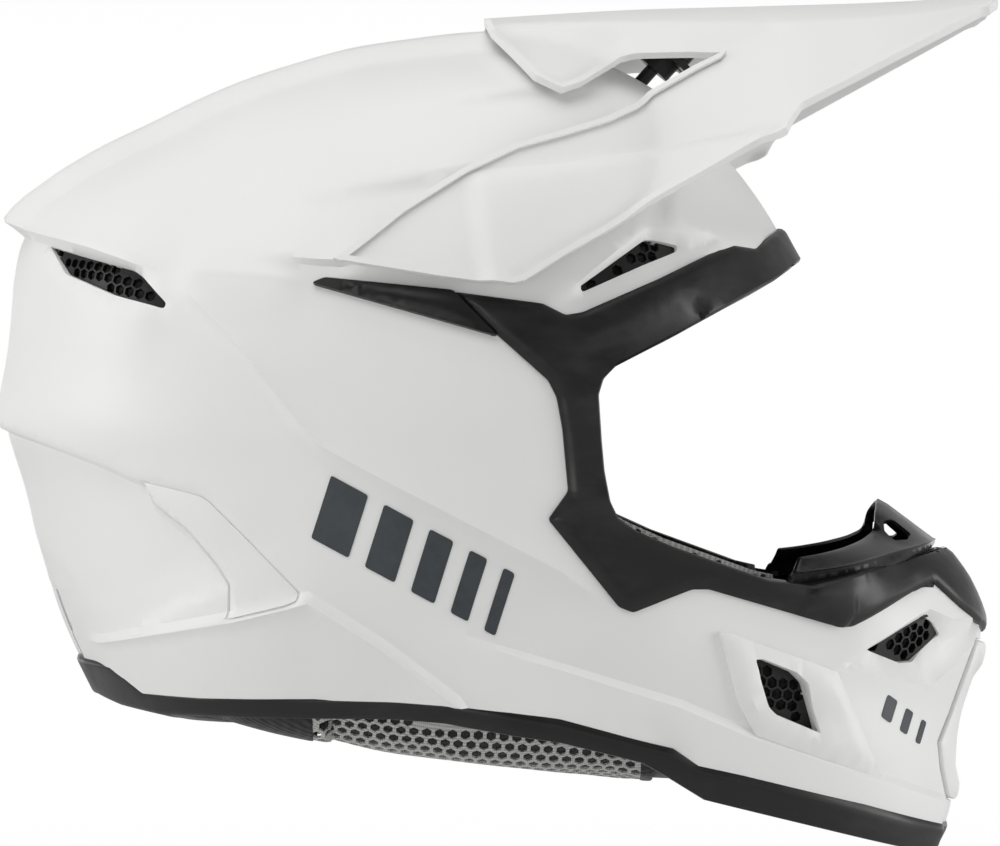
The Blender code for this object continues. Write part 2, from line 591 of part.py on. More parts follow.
def build_pads():
    def pad(name, outline, low_y, high_y, outer=PAD_OUT, inner=PAD_IN):
        return Layer(name, outer, inner, PARTS, FINISH["fabric"], FOAM_TURNS).keep(outline, low_y, high_y)

    pad("crown_pad", CROWN_PAD, -36, 36)
    pad("brow_pad", BROW_PAD, -62, 62).cut(grown(PORT, PORT_FLANGE + 2))
    pad("rear_pad", REAR_PAD, -50, 50)
    for label, side in SIDES.items():
        pad(f"side_pad_{label}", SIDE_PAD, *on_side(side, 38, 100))
        build_cheek_pad(label, side)
    pad("neck_roll", NECK_ROLL, -200, 200, ROLL_OUT, ROLL_IN)


def strap_z(y):
    """Height of the closed chin strap at a distance from the plane of symmetry."""
    exit_y, exit_z = STRAP_EXIT
    return exit_z - STRAP_SAG * (1 - (y / exit_y) ** 2)


def strap_band(name, start, end, half_width, rise, depth, finish, steps=10):
    """A piece that follows the strap from start to end in Y, its upper side a rise above it."""
    ys = np.linspace(start, end, steps + 1)
    rows = [[(STRAP_X + dx, y, strap_z(y) + rise) for y in ys] for dx in (-half_width, half_width)]
    return sheet(name, rows, depth, PARTS, finish)


def build_ring(place, drop):
    """A flat-sided steel ring that the webbing is threaded through."""
    radius, height = RING_RADIUS * MM, RING_HEIGHT * MM
    bm = bmesh.new()
    bmesh.ops.create_cone(bm, cap_ends=True, segments=16, radius1=radius, radius2=radius, depth=height)
    bmesh.ops.scale(bm, vec=(RING_STRETCH, 1, 1), verts=bm.verts)
    z = strap_z(RING_Y) - drop
    bmesh.ops.translate(bm, vec=Vector((STRAP_X, RING_Y + 0.8, z)) * MM, verts=bm.verts)
    ring = object_from(bm, f"d_ring_{place}", PARTS, FINISH["steel"])
    opening = rectangle(STRAP_X - RING_SLOT_HALF_LENGTH, z - 4, STRAP_X + RING_SLOT_HALF_LENGTH, z + 4)
    boolean(ring, "DIFFERENCE", prism(f"ring slot {place}", opening, RING_Y - 1.5, RING_Y + 3.5, CUTTERS))


def build_chin_strap():
    width, thickness = WEBBING
    exit_y = STRAP_EXIT[0]
    strap_band("chin_strap_long", -exit_y, RING_Y - 7, width / 2, 0, thickness, FINISH["webbing"], 12)
    strap_band("chin_strap_short", RING_Y + 8, exit_y, width / 2, 0, thickness, FINISH["webbing"], 4)
    strap_band("chin_strap_pad", -40, 28, width / 2 + 4, 5.6, 5.0, FINISH["fabric"])
    strap_band("strap_end_tab", 4, 20, width / 2 - 3, -thickness - 3 * GAP, 2.0, FINISH["black"], 3)
    build_ring("upper", 0.0)
    build_ring("lower", RING_DROP)
    y, low_z, high_z = SNAP_BUTTON
    cylinder("strap_snap_button", (STRAP_X, y, low_z), (STRAP_X, y, high_z), 5.0, PARTS, FINISH["black"])
    for label, side in SIDES.items():
        rows = [[(STRAP_X + dx, side * y, z) for y, z in RISER] for dx in (-width / 2, width / 2)]
        sheet(f"strap_riser_{label}", rows, thickness, PARTS, FINISH["webbing"])
        y = half_width_at(STRAP_X, HANGER_Z - 4, FOAM_IN)
        place = (STRAP_X, HANGER_Z)
        lateral(f"strap_hanger_{label}", side, y - 6, y - 2, HANGER_RADIUS, PARTS, FINISH["steel"], place)


PARTS = None
CUTTERS = None
FINISH = {}


def main():
    global PARTS, CUTTERS
    for item in list(bpy.data.objects):
        bpy.data.objects.remove(item, do_unlink=True)
    PARTS = collection("motocross_helmet")
    CUTTERS = collection("cutters")
    CUTTERS.hide_render = True
    FINISH.update(build_materials())
    build_shell()
    build_foam()
    build_trims()
    build_vents()
    build_nose_guard()
    build_peak()
    build_pads()
    build_chin_strap()


main()
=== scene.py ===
"""The finished look of the motocross helmet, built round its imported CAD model.

Most pieces are patches of one skin: a closed egg round a lateral axis. A chart unrolls half of the skin on
a flat disc, with the ear at its middle and the plane of symmetry at its rim. A patch is triangulated in the
chart from its outline, its holes and the lines of its creases, lifted back on the skin, and mirrored.
Lengths are millimetres, and MM turns them into metres.
"""

import math

import bpy
import numpy as np
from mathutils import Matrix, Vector
from mathutils.bvhtree import BVHTree
from mathutils.geometry import delaunay_2d_cdt
from mathutils.kdtree import KDTree


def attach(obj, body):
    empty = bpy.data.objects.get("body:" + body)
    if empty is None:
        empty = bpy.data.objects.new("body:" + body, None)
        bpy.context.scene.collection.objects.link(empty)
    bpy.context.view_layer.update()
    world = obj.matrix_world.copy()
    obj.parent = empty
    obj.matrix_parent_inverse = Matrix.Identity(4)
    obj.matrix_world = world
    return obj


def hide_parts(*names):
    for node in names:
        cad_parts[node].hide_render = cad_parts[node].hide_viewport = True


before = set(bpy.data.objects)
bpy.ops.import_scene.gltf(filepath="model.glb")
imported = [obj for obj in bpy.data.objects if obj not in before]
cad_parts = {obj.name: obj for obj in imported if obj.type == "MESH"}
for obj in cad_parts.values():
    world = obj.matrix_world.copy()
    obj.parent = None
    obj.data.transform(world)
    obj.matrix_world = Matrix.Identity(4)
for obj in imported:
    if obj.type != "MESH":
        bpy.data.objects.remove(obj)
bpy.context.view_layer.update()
MM = 0.001
SIDES = {"right": -1, "left": 1}  # the sign of Y on each side

# ---- smooth curves and polygons


def smooth_step(start, end, value):
    share = np.clip((np.asarray(value, float) - start) / (end - start), 0, 1)
    return share * share * (3 - 2 * share)


def curve_at(points, x):
    """A smooth curve through points (x, value, ...), read at x. Returns one array for each value."""
    points = np.array(points, float)
    xs = points[:, 0]
    x = np.clip(np.asarray(x, float), xs[0], xs[-1])
    i = np.clip(np.searchsorted(xs, x) - 1, 0, len(xs) - 2)
    step = xs[i + 1] - xs[i]
    u = (x - xs[i]) / step
    found = []
    for values in points[:, 1:].T:
        slopes = np.gradient(values, xs)
        found.append(
            (2 * u**3 - 3 * u**2 + 1) * values[i]
            + (u**3 - 2 * u**2 + u) * step * slopes[i]
            + (3 * u**2 - 2 * u**3) * values[i + 1]
            + (u**3 - u**2) * step * slopes[i + 1]
        )
    return found


def resampled(line, step, closed=False):
    """The polyline with points no more than step apart, keeping its corners."""
    line = np.array(line, float)
    if closed:
        line = np.vstack([line, line[:1]])
    found = []
    for start, end in zip(line, line[1:]):
        count = max(1, math.ceil(np.linalg.norm(end - start) / step))
        found.append(start + (end - start) * np.linspace(0, 1, count, endpoint=False)[:, None])
    found = np.vstack(found)
    return found if closed else np.vstack([found, line[-1:]])


def rounded(line, radius, closed=False, steps=4):
    """The polyline with each corner replaced by a short curve that starts radius away from it."""
    line = np.array(line, float)
    count = len(line)
    found = []
    for i, here in enumerate(line):
        if not closed and i in (0, count - 1):
            found.append(here)
            continue
        before, after = line[i - 1], line[(i + 1) % count]
        ins, outs = before - here, after - here
        start = here + ins / np.linalg.norm(ins) * min(radius, np.linalg.norm(ins) * 0.45)
        end = here + outs / np.linalg.norm(outs) * min(radius, np.linalg.norm(outs) * 0.45)
        for t in np.linspace(0, 1, steps + 1):
            found.append((1 - t) ** 2 * start + 2 * t * (1 - t) * here + t**2 * end)
    return np.array(found)


def inside(points, polygon):
    """Which points lie inside a closed polygon."""
    found = np.zeros(len(points), bool)
    x, y = points[:, 0], points[:, 1]
    for (ax, ay), (bx, by) in zip(polygon, np.roll(polygon, -1, axis=0)):
        if ay == by:
            continue
        crosses = (ay > y) != (by > y)
        found ^= crosses & (x < (bx - ax) * (y - ay) / (by - ay) + ax)
    return found


def side_normals(line, closed=False):
    """The unit normal on the left of a polyline at each of its points."""
    if closed:
        along = np.roll(line, -1, axis=0) - np.roll(line, 1, axis=0)
    else:
        along = np.gradient(line, axis=0)
    along /= np.linalg.norm(along, axis=1)[:, None] + 1e-12
    return np.column_stack([-along[:, 1], along[:, 0]])


def flat_tree(points):
    """A search tree of flat points."""
    tree = KDTree(len(points))
    for i, (x, y) in enumerate(points):
        tree.insert((x, y, 0), i)
    tree.balance()
    return tree


def belongs(piece, body, node=None):
    """Makes a piece move with a body, and hides the CAD node that it stands for."""
    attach(piece, body)
    if node:
        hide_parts(node)


# ---- the skin and its chart

CENTRE = np.array([0.0, -95.0])  # X and Z of the lateral axis that the skin is drawn around
HALF_WIDTH = 122.0
SILHOUETTE = [  # X, Z of the skin in the plane of symmetry, from the brow down the front and round
    (148, -30), (175, -70), (203, -115), (217, -150), (219, -166), (208, -202), (205, -240),
    (185, -262), (140, -280), (70, -285), (0, -275), (-60, -250), (-95, -215), (-113, -184),
    (-124, -160), (-131, -137), (-138, -115), (-147, -91), (-143, -62), (-141, -38), (-139, -20),
    (-126, -5), (-108, 7), (-89, 16), (-71, 25), (-52, 33), (-33, 39), (-15, 44), (5, 47), (33, 50),
    (58, 49), (76, 44), (91, 37), (104, 28), (117, 15), (129, 1), (140, -15),
]
SIDE_POWER = 2.2  # of the superellipse from the plane of symmetry to the side
BACK_POWER, CHIN_POWER = 2.25, 1.7  # how full the skin is behind, and round the chin
CHIN_START, CHIN_END = (-90, -50), (-15, 25)  # degrees between which one power turns into the other
CHART_RADIUS = 165.0  # of the disc, so that its lengths are close to those on the skin
SMOOTHING = math.radians(2.2)  # of the silhouette's corners
ANGLE_STEPS = 1440  # at which the silhouette's radius is worked out


class Skin:
    """The skin and the chart of its right half."""

    limit = CHART_RADIUS

    def __init__(self):
        offsets = np.array(SILHOUETTE, float) - CENTRE
        angles = np.arctan2(offsets[:, 1], offsets[:, 0])
        order = np.argsort(angles)
        table = np.column_stack([angles, np.hypot(*offsets.T)])[order]
        turn = np.array([2 * np.pi, 0])
        table = np.vstack([table - turn, table, table + turn])
        self.angles = np.linspace(-np.pi, np.pi, ANGLE_STEPS + 1)
        (radii,) = curve_at(table, self.angles)
        reach = np.arange(-40, 41)
        weights = np.exp(-((reach * (self.angles[1] - self.angles[0]) / SMOOTHING) ** 2) / 2)
        open_radii = radii[:-1]
        blurred = sum(w * np.roll(open_radii, -r) for r, w in zip(reach, weights)) / weights.sum()
        self.radii = np.append(blurred, blurred[0])

    def radius(self, angle):
        return np.interp(angle, self.angles, self.radii)

    @staticmethod
    def power(angle):
        degrees = np.degrees(angle)
        chin = smooth_step(*CHIN_END[::-1], degrees) * smooth_step(*CHIN_START, degrees)
        return BACK_POWER + (CHIN_POWER - BACK_POWER) * chin

    def to_chart(self, side_view):
        """Chart points of side-view points (X, Z). Those beyond the silhouette land beyond the disc."""
        offset = np.atleast_2d(np.array(side_view, float)) - CENTRE
        angle = np.arctan2(offset[:, 1], offset[:, 0])
        share = np.hypot(*offset.T) / self.radius(angle)
        within = np.degrees(np.arcsin(np.minimum(share, 1))) / 90 * CHART_RADIUS
        distance = within + np.maximum(share - 1, 0) * CHART_RADIUS
        return np.column_stack([distance * np.cos(angle), distance * np.sin(angle)])

    def point(self, chart):
        """The points on the skin at chart points."""
        angle = np.arctan2(chart[:, 1], chart[:, 0])
        ring = np.pi / 2 * (1 - np.hypot(*chart.T) / CHART_RADIUS)
        share = np.cos(ring)
        y = HALF_WIDTH * np.maximum(1 - share ** self.power(angle), 0) ** (1 / SIDE_POWER)
        radius = share * self.radius(angle)
        x, z = CENTRE[0] + radius * np.cos(angle), CENTRE[1] + radius * np.sin(angle)
        return np.column_stack([x, -y * np.sign(ring), z])

    def at_width(self, width, degrees):
        """Chart points at |Y| = width, at angles round the lateral axis in degrees."""
        angle = np.radians(np.asarray(degrees, float))
        share = (1 - (np.asarray(width, float) / HALF_WIDTH) ** SIDE_POWER) ** (1 / self.power(angle))
        distance = (1 - np.arccos(share) / (np.pi / 2)) * CHART_RADIUS
        return np.column_stack([distance * np.cos(angle), distance * np.sin(angle)])

    def half_width(self, x, z, offset):
        """The half width at side-view points of the skin grown by an offset, or 0 outside it."""
        dx, dz = np.asarray(x, float) - CENTRE[0], np.asarray(z, float) - CENTRE[1]
        angle = np.arctan2(dz, dx)
        share = np.minimum(np.hypot(dx, dz) / (self.radius(angle) + offset), 1)
        return (HALF_WIDTH + offset) * (1 - share ** self.power(angle)) ** (1 / SIDE_POWER)


def lift(chart_of, chart, height):
    """The points a height above a chart's surface, along its normals, and those normals."""
    reach = 0.6
    base = chart_of.point(chart)
    u = chart_of.point(chart + (reach, 0)) - chart_of.point(chart - (reach, 0))
    v = chart_of.point(chart + (0, reach)) - chart_of.point(chart - (0, reach))
    normal = np.cross(u, v)
    normal /= np.linalg.norm(normal, axis=1)[:, None]
    return base + normal * height[:, None], normal


# ---- creases and patches

GUIDE_DISTANCE = 5.0  # the farthest from a crease's line that its profile's bends get guide lines
GUIDE_REACH = 6.0  # a crease's guide lines that stay farther than this from a patch are left out of it
RIM_MARGIN = 4.0  # how far past the disc's rim a line's points may lie


class Crease:
    """A height added along a line. The profile is (distance to the line's left, height) points, fade is how
    far in from each end it grows, and a closed line has the height level inside it, beyond its profile."""

    def __init__(self, line, profile, fade=(0.0, 0.0), closed=False, level=0.0):
        self.closed = closed
        self.line = resampled(line, 2.5, closed)
        self.distances, self.heights = np.array(profile, float).T
        self.fade = fade
        self.level = level

    def guides(self):
        """Lines along the crease where its profile bends, with whether they are closed."""
        normals = side_normals(self.line, self.closed)
        for distance in self.distances:
            if abs(distance) <= GUIDE_DISTANCE:
                yield self.line + normals * distance, self.closed

    def height(self, chart):
        line = np.vstack([self.line, self.line[:1]]) if self.closed else self.line
        starts, spans = line[:-1], np.diff(line, axis=0)
        lengths = np.linalg.norm(spans, axis=1)
        along_before = np.concatenate([[0], np.cumsum(lengths)[:-1]])
        reach = np.abs(self.distances).max()
        near = ((chart >= line.min(0) - reach) & (chart <= line.max(0) + reach)).all(1)
        found = np.zeros(len(chart))
        points = chart[near]
        if not len(points):
            return found
        relative = points[:, None] - starts[None]
        share = np.clip((relative * spans).sum(2) / lengths**2, 0, 1)
        gaps = relative - share[..., None] * spans
        squared = (gaps**2).sum(2)
        nearest = squared.argmin(1)
        rows = np.arange(len(points))
        span, gone = spans[nearest], relative[rows, nearest]
        cross = span[:, 0] * gone[:, 1] - span[:, 1] * gone[:, 0]
        distance = np.sqrt(squared[rows, nearest])
        if self.closed:
            distance = np.where(inside(points, self.line), distance, -distance)
        elif self.distances.min() < 0:
            distance *= np.sign(cross)
        beyond = self.level if self.closed else self.heights[-1]
        value = np.interp(distance, self.distances, self.heights, right=beyond)
        along = along_before[nearest] + share[rows, nearest] * lengths[nearest]
        start, end = self.fade
        if start:
            value *= smooth_step(0, start, along)
        if end:
            value *= smooth_step(0, end, lengths.sum() - along)
        found[near] = value
        return found


def height_of(chart, base, creases):
    return base + sum((crease.height(chart) for crease in creases), np.zeros(len(chart)))


def hexagonal_grid(low, high, spacing):
    rows = np.arange(low[1], high[1], spacing * math.sqrt(3) / 2)
    found = []
    for i, y in enumerate(rows):
        x = np.arange(low[0] + (i % 2) * spacing / 2, high[0], spacing)
        found.append(np.column_stack([x, np.full(len(x), y)]))
    return np.vstack(found)


def triangulated(outline, holes, guides, spacing, limit=None):
    """Triangles that fill the outline less the holes, with an edge along every line."""
    lines = [(outline, True)] + [(hole, True) for hole in holes] + list(guides)
    points, edges = [], []
    for line, closed in lines:
        line = resampled(line, spacing, closed)
        if limit is not None:
            reach = np.linalg.norm(line, axis=1)
            line = line * np.minimum(1, (limit + RIM_MARGIN) / np.maximum(reach, 1e-9))[:, None]
        first = len(points)
        points.extend(line)
        last = len(points) - 1
        edges.extend((i, i + 1) for i in range(first, last))
        if closed:
            edges.append((last, first))
    if limit is not None:
        count = int(2 * math.pi * limit / spacing)
        turn = np.linspace(0, 2 * math.pi, count, endpoint=False)
        first = len(points)
        points.extend(np.column_stack([limit * np.cos(turn), limit * np.sin(turn)]))
        edges.extend((first + i, first + (i + 1) % count) for i in range(count))
    tree = flat_tree(points)
    fill = hexagonal_grid(outline.min(0), outline.max(0), spacing)
    fill = fill[inside(fill, outline)]
    for hole in holes:
        fill = fill[~inside(fill, hole)]
    if limit is not None:
        fill = fill[np.linalg.norm(fill, axis=1) < limit]
    points.extend(p for p in fill if tree.find((*p, 0))[2] > spacing * 0.5)
    found = delaunay_2d_cdt([Vector(p) for p in points], edges, [], 0, 1e-4)
    places, faces = np.array([tuple(p) for p in found[0]]), np.array(found[2])
    middles = places[faces].mean(1)
    keep = inside(middles, outline)
    for hole in holes:
        keep &= ~inside(middles, hole)
    if limit is not None:
        keep &= np.linalg.norm(middles, axis=1) < limit
    faces = faces[keep]
    used, faces = np.unique(faces, return_inverse=True)
    return places[used], faces.reshape(-1, 3)


def boundary_edges(faces):
    """The edges that only one face has, as (start, end) in that face's direction."""
    ends = np.concatenate([faces[:, [0, 1]], faces[:, [1, 2]], faces[:, [2, 0]]])
    directed = {tuple(edge) for edge in ends}
    return [(a, b) for a, b in directed if (b, a) not in directed]


def mesh_object(name, points, faces, finish, sharp=35.0):
    mesh = bpy.data.meshes.new(name)
    places = [tuple(point) for point in np.asarray(points) * MM]
    mesh.from_pydata(places, [], [tuple(map(int, face)) for face in faces])
    mesh.validate()
    mesh.materials.append(FINISHES[finish])
    made = bpy.data.objects.new(name, mesh)
    bpy.context.scene.collection.objects.link(made)
    mesh.shade_smooth()
    mesh.set_sharp_from_angle(angle=math.radians(sharp))
    return made


def patch(
    name, chart_of, outline, finish, *, holes=(), creases=(), base=0.0, spacing=3.0, thickness=2.0,
    wall=(), wall_where=None, centred=False, side=-1,
):
    """A piece of the skin with a thickness. outline and holes are chart lines. wall is a list of (inward,
    sideways) steps by which its edges turn in, where wall_where says so. A centred piece crosses the plane
    of symmetry, and any other lies on one side of it."""
    low, high = outline.min(0) - GUIDE_REACH, outline.max(0) + GUIDE_REACH
    every_guide = (guide for crease in creases for guide in crease.guides())
    guides = [guide for guide in every_guide if ((guide[0] > low) & (guide[0] < high)).all(1).any()]
    limit = chart_of.limit if centred else None
    chart, faces = triangulated(outline, holes, guides, spacing, limit)
    points, normals = lift(chart_of, chart, height_of(chart, base, creases))
    first, second, third = points[faces].swapaxes(0, 1)
    if (np.cross(second - first, third - first) * normals[faces[:, 0]]).sum() < 0:
        faces = faces[:, ::-1]
    on_plane = np.zeros(len(points), bool)
    if centred:
        on_plane = np.abs(points[:, 1]) < 0.05
        points[on_plane, 1] = 0
        normals[on_plane, 1] = 0
    edges = [(a, b) for a, b in boundary_edges(faces) if not (on_plane[a] and on_plane[b])]
    chosen = np.ones(len(chart), bool) if wall_where is None else wall_where(chart)
    points, faces, on_plane = solid_of(points, normals, faces, edges, chosen, on_plane, thickness, wall)
    if centred:
        twin = np.arange(len(points)) + len(points)
        twin[on_plane] = np.flatnonzero(on_plane)
        points = np.vstack([points, points * (1, -1, 1)])
        faces = np.vstack([faces, twin[faces][:, ::-1]])
    elif side > 0:
        points, faces = points * (1, -1, 1), faces[:, ::-1]
    return mesh_object(name, points, faces, finish)


def solid_of(points, normals, faces, edges, chosen, on_plane, thickness, wall):
    """The surface, its back, and a strip along each edge between them, straight or through the wall's steps.
    Returns the points, the faces and which points lie on the plane of symmetry."""
    count = len(points)
    back = points - normals * thickness
    ring = sorted({i for edge in edges for i in edge})
    place = {i: k for k, i in enumerate(ring)}
    out = np.zeros((len(ring), 3))
    for a, b in edges:
        along = points[b] - points[a]
        for i in (a, b):
            out[place[i]] += np.cross(along, normals[i])
    out /= np.linalg.norm(out, axis=1)[:, None] + 1e-12
    flat = on_plane[ring]
    out[flat, 1] = 0
    steps = list(wall)
    if steps:
        inward, sideways = steps[-1]
        steps += [(inward, sideways - thickness), (thickness, sideways - thickness)]
    levels = [points[ring] - normals[ring] * inward + out * sideways for inward, sideways in steps]
    rings = [np.array(ring, int)]
    for i in range(len(levels)):
        rings.append(2 * count + i * len(ring) + np.arange(len(ring)))
    rings.append(np.array(ring, int) + count)
    strips = []
    for a, b in edges:
        walled = steps and chosen[a] and chosen[b]
        path = rings if walled else [rings[0], rings[-1]]
        for upper, lower in zip(path, path[1:]):
            ka, kb = place[a], place[b]
            strips.append((upper[ka], lower[ka], lower[kb]))
            strips.append((upper[ka], lower[kb], upper[kb]))
    flat_levels = [flat] * len(levels)
    every = np.vstack([points, back, *levels])
    every_face = np.vstack([faces, faces[:, ::-1] + count, np.array(strips, int).reshape(-1, 3)])
    return every, every_face, np.concatenate([on_plane, on_plane, *flat_levels]).astype(bool)


# ---- outlines, X and Z in side view

PORT = [
    (172, -13), (139, -37), (128, -43), (103, -57), (80, -69), (75, -74), (73, -80), (74, -96),
    (75, -107), (77, -118), (80, -124), (87, -129), (101, -135), (118, -141), (135, -147), (150, -149),
    (163, -146), (203, -136), (262, -122), (262, 20),
]
TRIM_OUTER = [
    (160, -2), (140, -20), (130, -27), (122, -26), (113, -30), (95, -39), (68, -51), (62, -52),
    (54, -48), (23, -44), (38, -59), (56, -75), (59, -81), (61, -92), (63, -114), (56, -124),
    (81, -155), (86, -157), (107, -149), (113, -149), (160, -163), (165, -163), (201.5, -146.8),
    (219, -168), (270, -168), (270, 20),
]
SHELL_BOTTOM = [
    (-170, -173), (-113, -177), (-101, -178), (-95, -182), (-89, -187), (-68, -188), (18, -188),
    (39, -190), (60, -194), (89, -202), (100, -205), (109, -211), (125, -215), (147, -221),
    (169, -227), (206, -239), (260, -255),
]
TRIM_BOTTOM = [
    (-170, -187), (-108, -189), (-98, -192), (-83, -194.5), (18, -194.5), (39, -197), (60, -200.5),
    (89, -208), (98, -213), (111, -221), (147, -231), (204, -247), (260, -262),
]
BROW_VENT = [
    (69, -43), (68, -41), (75, -36), (92, -23.5), (95, -23.5), (104, -25.5), (104, -27.5), (92, -32.5),
]
REAR_VENT = [(-126, -25), (-93, -34), (-89, -37), (-80, -47), (-81, -49), (-100, -44), (-119, -36)]
CHIN_VENT = [(129, -174), (132, -174), (144, -179), (148, -183), (153, -201), (137, -194), (134, -191)]
UPPER_CHIN_VENT = [(172, -172), (197.5, -160.5), (201, -163), (204, -168), (192, -178), (186.5, -178)]
SIDE_COVER = [(-27, -41.1), (-22.5, -39.2), (22.4, -43.6), (38, -59.6)]
REAR_PANEL = [
    (-88, -111), (-67, -116), (-64, -118), (-32, -149.5), (-32, -152), (-37, -154), (-56, -158.5),
    (-56, -147), (-60, -141), (-71, -128), (-83, -119),
]
CHIN_BEZEL = [(117, -164), (121, -165), (159, -179), (176, -218), (130, -201), (124, -190)]
FLOOR_Z = -400.0  # below everything that a bottom outline cuts away

skin = Skin()


def on_skin(line, closed=False):
    return skin.to_chart(resampled(line, 2.5, closed))


def below(edge):
    """The outline of everything below an edge that runs from back to front."""
    return on_skin([*edge, (edge[-1][0], FLOOR_Z), (edge[0][0], FLOOR_Z)], closed=True)


def soft_edge(line, radius):
    """The chart outline of a closed side-view line, with rounded corners."""
    return rounded(on_skin(line, True), radius, True, 2)


def disc(radius):
    turn = np.linspace(0, 2 * math.pi, 120, endpoint=False)
    return np.column_stack([radius * np.cos(turn), radius * np.sin(turn)])


def grown(outline, distance):
    """A closed outline moved outwards by a distance, each corner along its bisector."""
    line = np.array(outline, float)
    x, y = line.T
    turn = np.sign(np.sum(x * np.roll(y, -1) - np.roll(x, -1) * y))
    ins = line - np.roll(line, 1, axis=0)
    outs = np.roll(line, -1, axis=0) - line
    ins /= np.linalg.norm(ins, axis=1)[:, None]
    outs /= np.linalg.norm(outs, axis=1)[:, None]
    normal = np.column_stack([ins[:, 1] + outs[:, 1], -ins[:, 0] - outs[:, 0]]) * turn
    normal /= np.linalg.norm(normal, axis=1)[:, None]
    lean = np.maximum(normal[:, 0] * ins[:, 1] * turn - normal[:, 1] * ins[:, 0] * turn, 0.5)
    return line + normal * (distance / lean)[:, None]


def across_plane(line, start, end, over=12.0):
    """Closes a chart line past the disc's rim, from the angle end back to the angle start, in degrees."""
    rim = [(CHART_RADIUS + over) * np.array([math.cos(a), math.sin(a)]) for a in np.radians([end, start])]
    return np.vstack([line, rim])


def band_outline(width, start, end, over=12.0):
    """A chart outline across the plane of symmetry, from an angle to another, out to |Y| = width."""
    return across_plane(skin.at_width(width, np.linspace(start, end, 12)), start, end, over)


def edge_round(outline, depth=1.2, reach=1.6):
    """Rolls a surface down into an opening."""
    profile = [(-reach, 0), (-reach * 0.35, -depth * 0.35), (0, -depth)]
    return Crease(outline, profile, closed=True, level=-depth)


def edge_drop(outline, depth=1.2, reach=1.6):
    """Rolls a panel down at its own edge."""
    return Crease(outline, [(0, -depth), (reach * 0.35, -depth * 0.3), (reach, 0)], closed=True)


# ---- materials


def set_stops(ramp, stops):
    """Gives a colour ramp its stops: a place, and a grey or a colour."""
    elements = ramp.color_ramp.elements
    while len(elements) < len(stops):
        elements.new(0.5)
    for element, (place, value) in zip(elements, stops):
        element.position = place
        element.color = (*value, 1) if isinstance(value, tuple) else (value, value, value, 1)


class Finish:
    """A procedural material: its shader, and a short way to add and join nodes."""

    def __init__(self, name, **sockets):
        self.material = bpy.data.materials.new(name)
        self.material.use_nodes = True
        self.tree = self.material.node_tree
        self.shader = self.tree.nodes["Principled BSDF"]
        for label, value in sockets.items():
            self.shader.inputs[label.replace("_", " ")].default_value = value
        self.places = self.tree.nodes.new("ShaderNodeTexCoord").outputs["Object"]

    def node(self, kind, **settings):
        made = self.tree.nodes.new(f"ShaderNode{kind}")
        for label, value in settings.items():
            if hasattr(made, label):
                setattr(made, label, value)
            else:
                made.inputs[label.replace("_", " ")].default_value = value
        return made

    def join(self, source, target):
        self.tree.links.new(source, target)

    def noise(self, scale, detail=3.0, stretch=(1, 1, 1), roughness=0.55):
        spread = self.node("Mapping")
        spread.inputs["Scale"].default_value = stretch
        self.join(self.places, spread.inputs["Vector"])
        made = self.node("TexNoise", Scale=scale, Detail=detail, Roughness=roughness)
        self.join(spread.outputs["Vector"], made.inputs["Vector"])
        return made.outputs["Fac"]

    def ramp(self, source, stops):
        made = self.node("ValToRGB")
        set_stops(made, stops)
        self.join(source, made.inputs["Fac"])
        return made.outputs["Color"]

    def math(self, operation, first, second):
        made = self.node("Math", operation=operation)
        for value, socket in ((first, made.inputs[0]), (second, made.inputs[1])):
            if isinstance(value, (int, float)):
                socket.default_value = value
            else:
                self.join(value, socket)
        return made.outputs["Value"]

    def colour(self, source):
        self.join(source, self.shader.inputs["Base Color"])

    def roughness(self, source):
        self.join(source, self.shader.inputs["Roughness"])

    def bump(self, source, distance, strength=1.0):
        """Bumps of a height in millimetres, added to those already there."""
        made = self.node("Bump", Strength=strength, Distance=distance * MM)
        self.join(source, made.inputs["Height"])
        old = self.shader.inputs["Normal"].links
        if old:
            self.join(old[0].from_socket, made.inputs["Normal"])
        self.join(made.outputs["Normal"], self.shader.inputs["Normal"])
        return self


def lacquer(name, light, dark):
    finish = Finish(name, Coat_Weight=0.12, Coat_Roughness=0.35, IOR=1.45)
    finish.colour(finish.ramp(finish.noise(14, 2), [(0.3, dark), (0.7, light)]))
    finish.roughness(finish.ramp(finish.noise(60, 4), [(0.3, 0.42), (0.75, 0.5)]))
    finish.bump(finish.noise(420, 2), 0.02, 0.35)
    return finish.material


def textured_plastic(name, base, painted_sheen, low, high, grain=1500, along=(1, 1, 1), coat=0.0):
    """Moulded black plastic, with fine grain, and greyer brushed stretches painted into its colour as a
    sheen.
    """
    finish = Finish(name, IOR=1.5, Specular_IOR_Level=0.35, Coat_Weight=coat, Coat_Roughness=0.2)
    brushed = finish.noise(34, 5, along, 0.62)
    # the greyer stretches are a painted sheen: they stand in for light that the satin surface catches
    finish.colour(finish.ramp(brushed, [(0.5, base), (0.72, painted_sheen)]))
    finish.roughness(finish.ramp(finish.noise(90, 4), [(0.3, low), (0.7, high)]))
    finish.bump(finish.noise(grain, 2), 0.06, 0.5).bump(brushed, 0.15, 0.35)
    return finish.material


def beaded_foam(name, base, pale):
    """Moulded polystyrene: beads a few millimetres across, pressed flat against each other."""
    finish = Finish(name, Roughness=0.85, IOR=1.35)
    cells = finish.node("TexVoronoi", Scale=300.0, feature="DISTANCE_TO_EDGE")
    finish.join(finish.places, cells.inputs["Vector"])
    distance = cells.outputs["Distance"]
    finish.colour(finish.ramp(distance, [(0.02, base), (0.1, pale)]))
    finish.bump(finish.ramp(distance, [(0.0, 0.0), (0.12, 1.0)]), 0.12, 0.8)
    return finish.material


